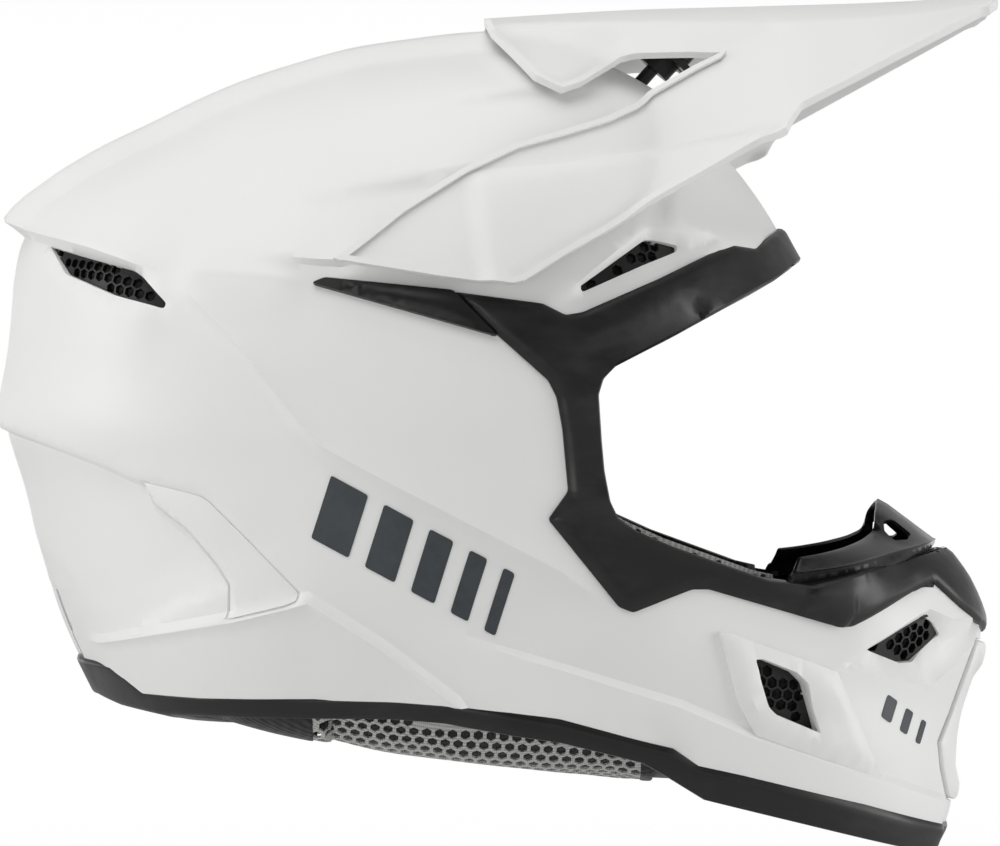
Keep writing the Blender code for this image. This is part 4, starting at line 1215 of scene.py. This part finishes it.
GUARD_WINDOW = [(62, 8.0), (65, 11.4), (71, 12.2), (78, 10.8), (76, 7.0), (68, 6.4)]


class GuardChart:
    """The nose guard's chart: the way from its rear end to the middle, and the height on it."""

    limit = None

    def point(self, chart):
        along, height = chart.T
        rows = (GUARD_LOWER, GUARD_RIDGE, GUARD_UPPER)
        lower, ridge, upper = (np.array(curve_at(row, along)) for row in rows)
        bottom, middle, top = GUARD_LEVELS
        under = lower + (ridge - lower) * ((height - bottom) / (middle - bottom))
        over = ridge + (upper - ridge) * ((height - middle) / (top - middle))
        return np.where(height < middle, under, over).T * (1, -1, 1)


def build_nose_guard():
    _, middle, top = GUARD_LEVELS
    outline = np.array([(0, 0), (100, 0), (100, top), (0, top)], float)
    window = rounded(GUARD_WINDOW, 1.0, True, 2)
    free = np.array([(100, 0), (0, 0), (0, top), (100, top)], float)
    ridge = np.array([(-4, middle), (104, middle)], float)
    guard = patch(
        "nose_guard_shield", GuardChart(), outline, "guard", holes=[window],
        spacing=1.6, thickness=1.6,
        creases=[
            Crease(free, [(0, -0.6), (0.5, -0.2), (1.1, 0)]),
            Crease(ridge, [(-0.5, 0), (0, 0.35), (0.5, 0)]),
        ],
        wall=[(0.5, 0.15), (1.3, 0.15)], centred=True,
    )
    belongs(guard, "helmet", "nose_guard")


# ---- the thumb screw's knob

PIVOT = np.array([16.0, 0.0, -47.0])
KNOB_ANGLE = 48.0  # of the thumb screw, about the peak's pivot
KNOB_BASE, KNOB_TOP, KNOB_RADIUS = 129.0, 136.0, 9.0  # distances from the pivot, and the radius
KNOB_LOBES, KNOB_DIP = 12, 0.09
STEM_LENGTH, STEM_RADIUS = 17.0, 2.5


def turned(name, origin, axis, rings, finish, lobes, dip, sides=72):
    """A closed piece turned about an axis without Y. rings are (distance along the axis, radius), the first
    and last are capped flat, and the widest get the lobes."""
    across = np.cross(axis, (0, 1, 0))
    third = np.cross(axis, across)
    angles = np.linspace(0, 2 * math.pi, sides, endpoint=False)
    wave = 1 - dip * (0.5 + 0.5 * np.cos(lobes * angles)) ** 2
    spokes = np.outer(np.cos(angles), across) + np.outer(np.sin(angles), third)
    largest = max(radius for _, radius in rings)
    points = []
    for along, radius in rings:
        lobed = wave if radius > 0.8 * largest else np.ones(sides)
        points.append(origin + axis * along + spokes * (radius * lobed)[:, None])
    count = len(points) * sides
    points = np.vstack([*points, origin + axis * rings[0][0], origin + axis * rings[-1][0]])
    faces = []
    for ring in range(len(rings) - 1):
        for i in range(sides):
            a, b = ring * sides + i, ring * sides + (i + 1) % sides
            faces += [(a, b, b + sides), (a, b + sides, a + sides)]
    last = (len(rings) - 1) * sides
    for i in range(sides):
        j = (i + 1) % sides
        faces += [(count, j, i), (count + 1, last + i, last + j)]
    return mesh_object(name, points, np.array(faces), finish)


def build_knob():
    angle = math.radians(KNOB_ANGLE)
    axis = np.array([math.cos(angle), 0, math.sin(angle)])
    stem = [(KNOB_BASE - STEM_LENGTH, STEM_RADIUS), (KNOB_BASE, STEM_RADIUS)]
    lower_edge = [
        (KNOB_BASE, KNOB_RADIUS - 0.8), (KNOB_BASE + 0.3, KNOB_RADIUS - 0.2), (KNOB_BASE + 0.9, KNOB_RADIUS),
    ]
    upper_edge = [
        (KNOB_TOP - 1.2, KNOB_RADIUS), (KNOB_TOP - 0.4, KNOB_RADIUS - 0.3), (KNOB_TOP, KNOB_RADIUS - 1.1),
    ]
    dished_top = [(KNOB_TOP, 6.0), (KNOB_TOP - 0.9, 5.4), (KNOB_TOP - 0.9, 3.2), (KNOB_TOP - 0.2, 2.4)]
    rings = stem + lower_edge + upper_edge + dished_top
    knob = turned("thumb_screw_knob", PIVOT, axis, rings, "fitting", KNOB_LOBES, KNOB_DIP)
    belongs(knob, "thumb_screw", "peak_thumb_screw")


# ---- padding

PAD_VOXEL = 4.0
PAD_SHRINK = 1.3  # the cloth swells, so each pad starts this much inside its solid
PAD_CAP = 3.2  # the most that a point may move
PAD_PRESSURE = 4.0
PAD_MOMENTS = 20
HEAD_MIDDLE = np.array([0.0, 0.0, -95.0])


def settle(piece):
    """Applies the piece's modifiers."""
    graph = bpy.context.evaluated_depsgraph_get()
    graph.update()
    mesh = bpy.data.meshes.new_from_object(piece.evaluated_get(graph))
    piece.modifiers.clear()
    piece.data = mesh


def read_points(piece):
    count = len(piece.data.vertices)
    points, normals = np.empty(count * 3), np.empty(count * 3)
    piece.data.vertices.foreach_get("co", points)
    piece.data.vertices.foreach_get("normal", normals)
    return points.reshape(-1, 3) / MM, normals.reshape(-1, 3)


def write_points(piece, points):
    piece.data.vertices.foreach_set("co", (points * MM).ravel())
    piece.data.update()


def smoothed(piece, times):
    modifier = piece.modifiers.new("smooth", "SMOOTH")
    modifier.factor, modifier.iterations = 0.5, times
    settle(piece)


def stuffed(name, node):
    """A pad in its CAD solid's place: a closed cloth skin that is blown up from inside."""
    piece = bpy.data.objects.new(name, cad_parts[node].data.copy())
    bpy.context.scene.collection.objects.link(piece)
    remesh = piece.modifiers.new("remesh", "REMESH")
    remesh.mode, remesh.voxel_size = "VOXEL", PAD_VOXEL * MM
    settle(piece)
    smoothed(piece, 3)
    points, normals = read_points(piece)
    start = points - normals * PAD_SHRINK
    write_points(piece, start)
    cloth = piece.modifiers.new("cloth", "CLOTH")
    cloth.settings.use_pressure = True
    cloth.settings.uniform_pressure_force = PAD_PRESSURE
    cloth.settings.effector_weights.gravity = 0
    for moment in range(1, PAD_MOMENTS + 1):
        bpy.context.scene.frame_set(moment)
    settle(piece)
    bpy.context.scene.frame_set(1)
    moved = read_points(piece)[0] - start
    reach = np.linalg.norm(moved, axis=1)[:, None]
    write_points(piece, start + moved * np.minimum(1, PAD_CAP / np.maximum(reach, 1e-6)))
    smoothed(piece, 2)
    piece.modifiers.new("finer", "SUBSURF").levels = 1
    settle(piece)
    piece.data.materials.clear()
    piece.data.materials.append(FINISHES["lining"])
    piece.data.shade_smooth()
    return piece


def sewn(piece, line, axes=(0, 2), depth=1.7, width=2.0, closed=False, underneath=False):
    """Pulls a seam in along a line, on the faces that look at the head, or on those that look down."""
    points, normals = read_points(piece)
    tree = flat_tree(resampled(line, 1.5, closed))
    distance = np.array([tree.find((*point, 0))[2] for point in points[:, list(axes)]])
    facing = -normals[:, 2] if underneath else (normals * (HEAD_MIDDLE - points)).sum(1)
    pull = depth * np.exp(-((distance / width) ** 2)) * (facing > 0)
    write_points(piece, points - normals * pull[:, None])


def mirrored(piece, name):
    """The same piece on the other side of the plane of symmetry."""
    twin = bpy.data.objects.new(name, piece.data.copy())
    bpy.context.scene.collection.objects.link(twin)
    points, _ = read_points(twin)
    write_points(twin, points * (1, -1, 1))
    twin.data.flip_normals()
    return twin


def finish_pad(piece, node, body="helmet"):
    belongs(piece, body, node)


CHEEK_SEAM = [(33, -113), (56, -118), (63, -140), (103, -157), (103, -196), (33, -188)]
CHEEK_CHANNELS = ([(33, -150), (103, -172)], [(62, -140), (72, -192)])
SIDE_SEAM = [(-51, -83), (43, -83), (43, -16), (-51, -16)]
SIDE_CHANNELS = ([(-20, -83), (-20, -16)], [(12, -83), (12, -16)])
PAIRED_PADS = (("cheek", CHEEK_SEAM, CHEEK_CHANNELS), ("side", SIDE_SEAM, SIDE_CHANNELS))
CROWN_SEAMS, CROWN_ENDS = (-24, -8, 8, 24), (-60, 54)  # Y of each seam, and X of its ends
BROW_SEAMS, BROW_ENDS = (-40, -20, 0, 20, 40), (-60, 40)  # Y of each seam, and Z of its ends
REAR_SEAMS, REAR_ENDS = (-34, -12, 12, 34), (-140, 0)


def build_paired_pads():
    for region, seam, channels in PAIRED_PADS:
        right = stuffed(f"{region}_cushion_right", f"{region}_pad_right")
        sewn(right, rounded(seam, 8, True), closed=True)
        for channel in channels:
            sewn(right, channel, depth=1.2)
        left = mirrored(right, f"{region}_cushion_left")
        finish_pad(right, f"{region}_pad_right")
        finish_pad(left, f"{region}_pad_left")
        if region == "cheek":
            build_nets(right)


def build_middle_pads():
    crown = stuffed("crown_cushion", "crown_pad")
    for y in CROWN_SEAMS:
        sewn(crown, [(x, y) for x in CROWN_ENDS], axes=(0, 1))
    finish_pad(crown, "crown_pad")
    for region, seams, ends in (("brow", BROW_SEAMS, BROW_ENDS), ("rear", REAR_SEAMS, REAR_ENDS)):
        pad = stuffed(f"{region}_cushion", f"{region}_pad")
        for y in seams:
            sewn(pad, [(y, z) for z in ends], axes=(1, 2))
        finish_pad(pad, f"{region}_pad")
    roll = stuffed("neck_roll_cushion", "neck_roll")
    for y in range(-80, 81, 20):
        sewn(roll, [(-120, y), (-30, y * 1.1)], axes=(0, 1), depth=1.3, underneath=True)
    finish_pad(roll, "neck_roll")


# ---- the silver mesh on the cheek pads

ROLL_MIDDLE = [  # X, |Y| and Z along the middle of the cheek pad's lower roll
    (-80, 62, -178), (-40, 78, -188.5), (0, 84, -195), (50, 80, -201), (75, 76, -205), (110, 66, -211),
]
ROLL_RADIUS = 12.0
ROLL_END = -22.0  # X: behind it the roll is taken to be round, past the rounded end of the cushion
NET_MIDDLE = (30.0, -8.0)
TAPE_LENGTH = 30.0  # of the smooth part behind the net, which joins it to the neck roll
TAPE_LAP, TAPE_FRONT = 0.6, 4.0  # how far a tape overlaps the net, and how far one goes past its front
NET_PITCH, NET_CORD, NET_THICKNESS = 4.6, 1.25, 0.9
NET_ENDS = (-28.0, 90.0)  # X
NET_REACH = (-30.0, 1.0)  # round the roll: under it, and up its outside
PORT_NET = [
    (79, -112), (82, -122), (89, -126), (102, -132), (119, -138), (136, -144), (144, -145.5),
    (144, -152), (118, -147), (96, -141), (79, -131),
]
PORT_NET_DEPTH, PORT_NET_SCALE = -17.0, 0.85
RAY_START, RAY_LENGTH = 40.0, 60.0  # of the rays that look for the roll's surface from outside


class RollChart:
    """Wraps a simulated roll: X, and the way round it, 0 straight out and negative underneath."""

    limit = None

    def __init__(self, piece):
        points, _ = read_points(piece)
        faces = [list(face.vertices) for face in piece.data.polygons]
        self.tree = BVHTree.FromPolygons([tuple(point) for point in points], faces)

    def point(self, chart):
        y, z = curve_at(ROLL_MIDDLE, chart[:, 0])
        turn = chart[:, 1] / ROLL_RADIUS
        found = []
        for x, middle_y, middle_z, angle in zip(chart[:, 0], y, z, turn):
            out = Vector((0, -math.cos(angle), math.sin(angle)))
            middle = Vector((x, -middle_y, middle_z))
            place = middle + out * ROLL_RADIUS
            if x > ROLL_END:
                place = self.tree.ray_cast(middle + out * RAY_START, -out, RAY_LENGTH)[0] or place
            found.append(place)
        return np.array(found)


def roll_strip(start, end):
    """The outline of a strip on the roll, as tall as the net, from one X to another."""
    low, high = NET_REACH
    return np.array([(start, low), (end, low), (end, high), (start, high)], float)


def build_nets(cheek):
    roll = RollChart(cheek)
    start, end = NET_ENDS
    lower_net, port_net = roll_strip(start, end), on_skin(PORT_NET, True)
    tapes = (
        roll_strip(start - TAPE_LENGTH, start + TAPE_LAP), roll_strip(end - TAPE_LAP, end + TAPE_FRONT),
    )
    for label, side in SIDES.items():
        nets = [
            patch(
                f"lower_net_{label}", roll, lower_net, "silver_cord", base=0.8, spacing=3.0,
                holes=regular_cells(roll, lower_net, 0, NET_PITCH, NET_CORD, np.array(NET_MIDDLE)),
                thickness=NET_THICKNESS, side=side,
            ),
            patch(
                f"port_net_{label}", skin, port_net, "silver_cord", base=PORT_NET_DEPTH,
                holes=regular_cells(skin, port_net, 0, NET_PITCH * PORT_NET_SCALE, NET_CORD),
                spacing=4.0, thickness=NET_THICKNESS, side=side,
            ),
        ]
        for net in nets:
            belongs(net, "helmet")
        port_roll = patch(
            f"port_roll_{label}", skin, port_net, "lining", base=PORT_NET_DEPTH - 1.6,
            spacing=3.0, thickness=4.0, side=side, creases=[edge_drop(port_net, 2.0, 4.0)],
        )
        belongs(port_roll, "helmet")
        for count, outline in enumerate(tapes, start=1):
            tape = patch(
                f"net_tape_{label}_{count}", roll, outline, "webbing", base=1.3, spacing=2.0,
                thickness=1.2, side=side, creases=[edge_drop(outline, 0.6, 1.2)],
            )
            belongs(tape, "helmet")


# ---- straps and rings

STRAP_X = 8.0
STRAP_EXIT_Y, STRAP_EXIT_Z, STRAP_SAG = 60.0, -186.0, 18.0
STRAP_WIDTH, STRAP_THICKNESS = 24.0, 1.6
RING_Y, RING_DROP = 38.0, 3.8  # where the rings are, and how far apart
RING_SHIFT = 0.8  # of a ring's middle, past the strap's fold
RISER = [(77, -152), (73, -162.5), (69, -172), (62.4, -183)]  # |Y|, Z
TAIL_DROP, SHORT_RISE = 3.0, 0.4  # how far the long strap's tail and the short strap lie off its path


def strap_z(y):
    """The height of the closed strap's middle surface at Y."""
    return STRAP_EXIT_Z - STRAP_SAG * (1 - (y / STRAP_EXIT_Y) ** 2)


def smooth_path(points, step):
    """A smooth curve through the points, at even steps."""
    points = np.array(points, float)
    way = np.concatenate([[0], np.cumsum(np.linalg.norm(np.diff(points, axis=0), axis=1))])
    places = np.linspace(0, way[-1], max(8, int(way[-1] / step)))
    return np.column_stack(curve_at(np.column_stack([way, points]), places))


def ribbon(name, path):
    """A strap whose width lies along X: path is (Y, Z) points, and its edges are rounded selvedges."""
    width, thickness = STRAP_WIDTH, STRAP_THICKNESS
    path = smooth_path(path, 1.4)
    normals = side_normals(path)
    angles = np.linspace(0, 2 * math.pi, 28, endpoint=False)
    across = np.sign(np.cos(angles)) * np.abs(np.cos(angles)) ** 0.28 * width / 2
    swell = 1 + 0.16 * smooth_step(width * 0.42, width * 0.48, np.abs(across))
    up = np.sign(np.sin(angles)) * np.abs(np.sin(angles)) ** 0.6 * thickness / 2 * swell
    rings = [
        np.column_stack([STRAP_X + across, y + normal[0] * up, z + normal[1] * up])
        for (y, z), normal in zip(path, normals)
    ]
    return loft(name, rings, "webbing")


def loft(name, rings, finish, closed=False):
    """A closed surface through rings of points, with flat ends unless it closes on itself."""
    size, count = len(rings[0]), len(rings)
    points = np.vstack(rings)
    faces = []
    for ring in range(count if closed else count - 1):
        here, after = ring * size, (ring + 1) % count * size
        for i in range(size):
            j = (i + 1) % size
            faces += [(here + i, after + i, after + j), (here + i, after + j, here + j)]
    if not closed:
        points = np.vstack([points, rings[0].mean(0), rings[-1].mean(0)])
        first, last = count * size, count * size + 1
        for i in range(size):
            j = (i + 1) % size
            faces += [(first, i, j), (last, first - size + j, first - size + i)]
    faces = np.array(faces)
    corners = points[faces]
    if np.einsum("ij,ij->i", corners[:, 0], np.cross(corners[:, 1], corners[:, 2])).sum() < 0:
        faces = faces[:, ::-1]
    return mesh_object(name, points, faces, finish, sharp=50)


def wire(name, path, radius, finish, closed=True, sides=14):
    """A round wire along a path of points."""
    path = np.array(path, float)
    along = np.roll(path, -1, axis=0) - np.roll(path, 1, axis=0) if closed else np.gradient(path, axis=0)
    along /= np.linalg.norm(along, axis=1)[:, None]
    up = np.array([0.0, 0.0, 1.0])
    angles = np.linspace(0, 2 * math.pi, sides, endpoint=False)
    rings = []
    for place, way in zip(path, along):
        first = np.cross(way, up)
        first /= np.linalg.norm(first)
        second = np.cross(first, way)
        round_it = np.outer(np.cos(angles), first) + np.outer(np.sin(angles), second)
        rings.append(place + radius * round_it)
    return loft(name, rings, finish, closed)


RING_LENGTH, RING_WIDTH, RING_WIRE = 15.2, 5.4, 1.5  # half the length, half the width, and the wire's radius


def ring_path():
    """A D: straight on one long side, bowed on the other."""
    corners = [
        (RING_LENGTH, RING_WIDTH), (-RING_LENGTH, RING_WIDTH), (-RING_LENGTH, -1.5),
        (-RING_LENGTH * 0.6, -RING_WIDTH), (RING_LENGTH * 0.6, -RING_WIDTH), (RING_LENGTH, -1.5),
    ]
    return resampled(rounded(corners, 4.0, True, 6), 1.5, True)


STITCH_LENGTH, STITCH_GAP, STITCH_RADIUS = 2.4, 1.0, 0.32
STITCH_RISES = (0.35, -0.12, -0.25, -0.12, 0.35)  # of a stitch's points over the strap's lower face
STITCHED = (-50.0, -36.0)  # Y of the ends of the stitched box
STITCH_INSET = 9.0  # X of the box's sides from the strap's middle


def stitches(name, start, end):
    """A row of short thread loops between two points (X, Y), on the strap's lower face."""
    start, end = np.array(start, float), np.array(end, float)
    length = np.linalg.norm(end - start)
    count = max(1, int(length / (STITCH_LENGTH + STITCH_GAP)))
    joined = []
    for i in range(count):
        middle = start + (end - start) * (i + 0.5) / count
        half = (end - start) / length * STITCH_LENGTH / 2
        path = []
        for share, rise in zip((-1, -0.5, 0, 0.5, 1), STITCH_RISES):
            x, y = middle + half * share
            path.append((x, y, strap_z(y) - STRAP_THICKNESS / 2 + rise))
        joined.append(wire(f"{name}_{i}", path, STITCH_RADIUS, "thread", closed=False, sides=8))
    first = joined[0]
    with bpy.context.temp_override(active_object=first, selected_editable_objects=joined, object=first):
        bpy.ops.object.join()
    first.name = name
    belongs(first, "chin_strap")


def build_webbing():
    for label, side in SIDES.items():
        riser = ribbon(f"riser_webbing_{label}", [(side * y, z) for y, z in RISER])
        belongs(riser, "helmet", f"strap_riser_{label}")
    end_z = strap_z(RING_Y)
    over = [(y, strap_z(y)) for y in np.linspace(-STRAP_EXIT_Y, 31, 14)]
    fold_back = [
        (36, end_z + 1.8), (40, end_z - 0.6), (40.4, end_z - 5.6), (36.5, end_z - 7.8), (30, end_z - 6.6),
        (24, end_z - 5.6),
    ]
    back = [(y, strap_z(y) - TAIL_DROP) for y in (16, 6)]
    long_part = ribbon("long_strap_webbing", over + fold_back + back)
    belongs(long_part, "chin_strap", "chin_strap_long")
    near = [(y, strap_z(y) + SHORT_RISE) for y in (60, 55, 50, 47)]
    loop = [
        (43.6, end_z + 2.2), (41.6, end_z - 1.2), (43.8, end_z - 6.4), (47, end_z - 6.0), (52, end_z - 2.6),
    ]
    short_part = ribbon("short_strap_webbing", near + loop)
    belongs(short_part, "chin_strap", "chin_strap_short")


def build_rings():
    for place, drop in (("upper", 0.0), ("lower", RING_DROP)):
        path = [(STRAP_X + x, RING_Y + RING_SHIFT + y, strap_z(RING_Y) - drop) for x, y in ring_path()]
        ring = wire(f"wire_ring_{place}", path, RING_WIRE, "steel")
        belongs(ring, "chin_strap", f"d_ring_{place}")


def build_chin_pad():
    pad = stuffed("chin_cushion", "chin_strap_pad")
    for y in range(-34, 27, 12):
        sewn(pad, [(STRAP_X - 20, y), (STRAP_X + 20, y)], axes=(0, 1), depth=0.9, width=1.6)
    finish_pad(pad, "chin_strap_pad", "chin_strap")


def build_stitches():
    """A stitched box where the long strap is sewn."""
    left, right = STRAP_X - STITCH_INSET, STRAP_X + STITCH_INSET
    for count, x in enumerate((left, right), start=1):
        stitches(f"strap_stitches_{count}", *[(x, y) for y in STITCHED])
    for count, y in enumerate(STITCHED, start=3):
        stitches(f"strap_stitches_{count}", (left, y), (right, y))


# ---- printed bars

BARS_START, BARS_END = np.array([-24.0, -119.5]), np.array([41.0, -154.5])
BAR_WIDTHS = (15, 12, 9.5, 7, 4.5)
BAR_HALF_HEIGHT, BAR_LEAN = 11.0, 7.0
CHIN_BARS_START, CHIN_BARS_END = np.array([178.0, -192.0]), np.array([193.0, -203.0])
CHIN_BAR_WIDTHS = (4.5, 3.3, 2.1)
CHIN_BAR_HALF_HEIGHT, CHIN_BAR_LEAN = 4.0, 2.6
PRINT_HEIGHT, PRINT_THICKNESS = 0.3, 0.35


def slanted_bars(start, end, widths, half_height, lean):
    """Leaning bars, side by side along a line, each narrower than the one before."""
    way = (end - start) / np.linalg.norm(end - start)
    gap = (np.linalg.norm(end - start) - sum(widths)) / (len(widths) - 1)
    up = np.array([lean / 2, half_height])
    reached = 0.0
    for width in widths:
        left, right = start + way * reached, start + way * (reached + width)
        yield [left - up, right - up, right + up, left + up]
        reached += width + gap


def build_prints():
    creases = shell_creases()
    side_set = slanted_bars(BARS_START, BARS_END, BAR_WIDTHS, BAR_HALF_HEIGHT, BAR_LEAN)
    chin_set = slanted_bars(
        CHIN_BARS_START, CHIN_BARS_END, CHIN_BAR_WIDTHS, CHIN_BAR_HALF_HEIGHT, CHIN_BAR_LEAN
    )
    bars = [("side", bar) for bar in side_set] + [("chin", bar) for bar in chin_set]
    for count, (region, bar) in enumerate(bars, start=1):
        outline = soft_edge(bar, 0.6)
        for label, side in SIDES.items():
            ink = patch(
                f"{region}_print_{count}_{label}", skin, outline, "ink", creases=creases,
                base=PRINT_HEIGHT, spacing=2.5, thickness=PRINT_THICKNESS, side=side,
            )
            belongs(ink, "helmet")


# ---- everything

CARRIED_OVER = {  # the start of a CAD node's name, and the finish it gets
    "eps_liner": "beads", "chin_bar_foam": "beads", "mouth_filter": "filter", "peak_bracket": "fitting",
    "peak_screw_boss": "fitting", "peak_side_screw": "steel", "cheek_pad_snap": "fitting",
    "strap_hanger": "steel", "strap_end_tab": "fitting", "strap_snap_button": "fitting",
}


def finish_carried_over():
    for name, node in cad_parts.items():
        for start, finish in CARRIED_OVER.items():
            if name.startswith(start):
                node.data.materials.clear()
                node.data.materials.append(FINISHES[finish])


build_camera()
build_world()
build_lights()
build_floor()
build_shell()
build_port_trim()
build_rim()
build_grilles()
build_small_panels()
build_mouthpiece()
build_mouth_grille()
build_peak()
build_nose_guard()
build_knob()
build_paired_pads()
build_middle_pads()
build_webbing()
build_rings()
build_chin_pad()
build_stitches()
build_prints()
finish_carried_over()
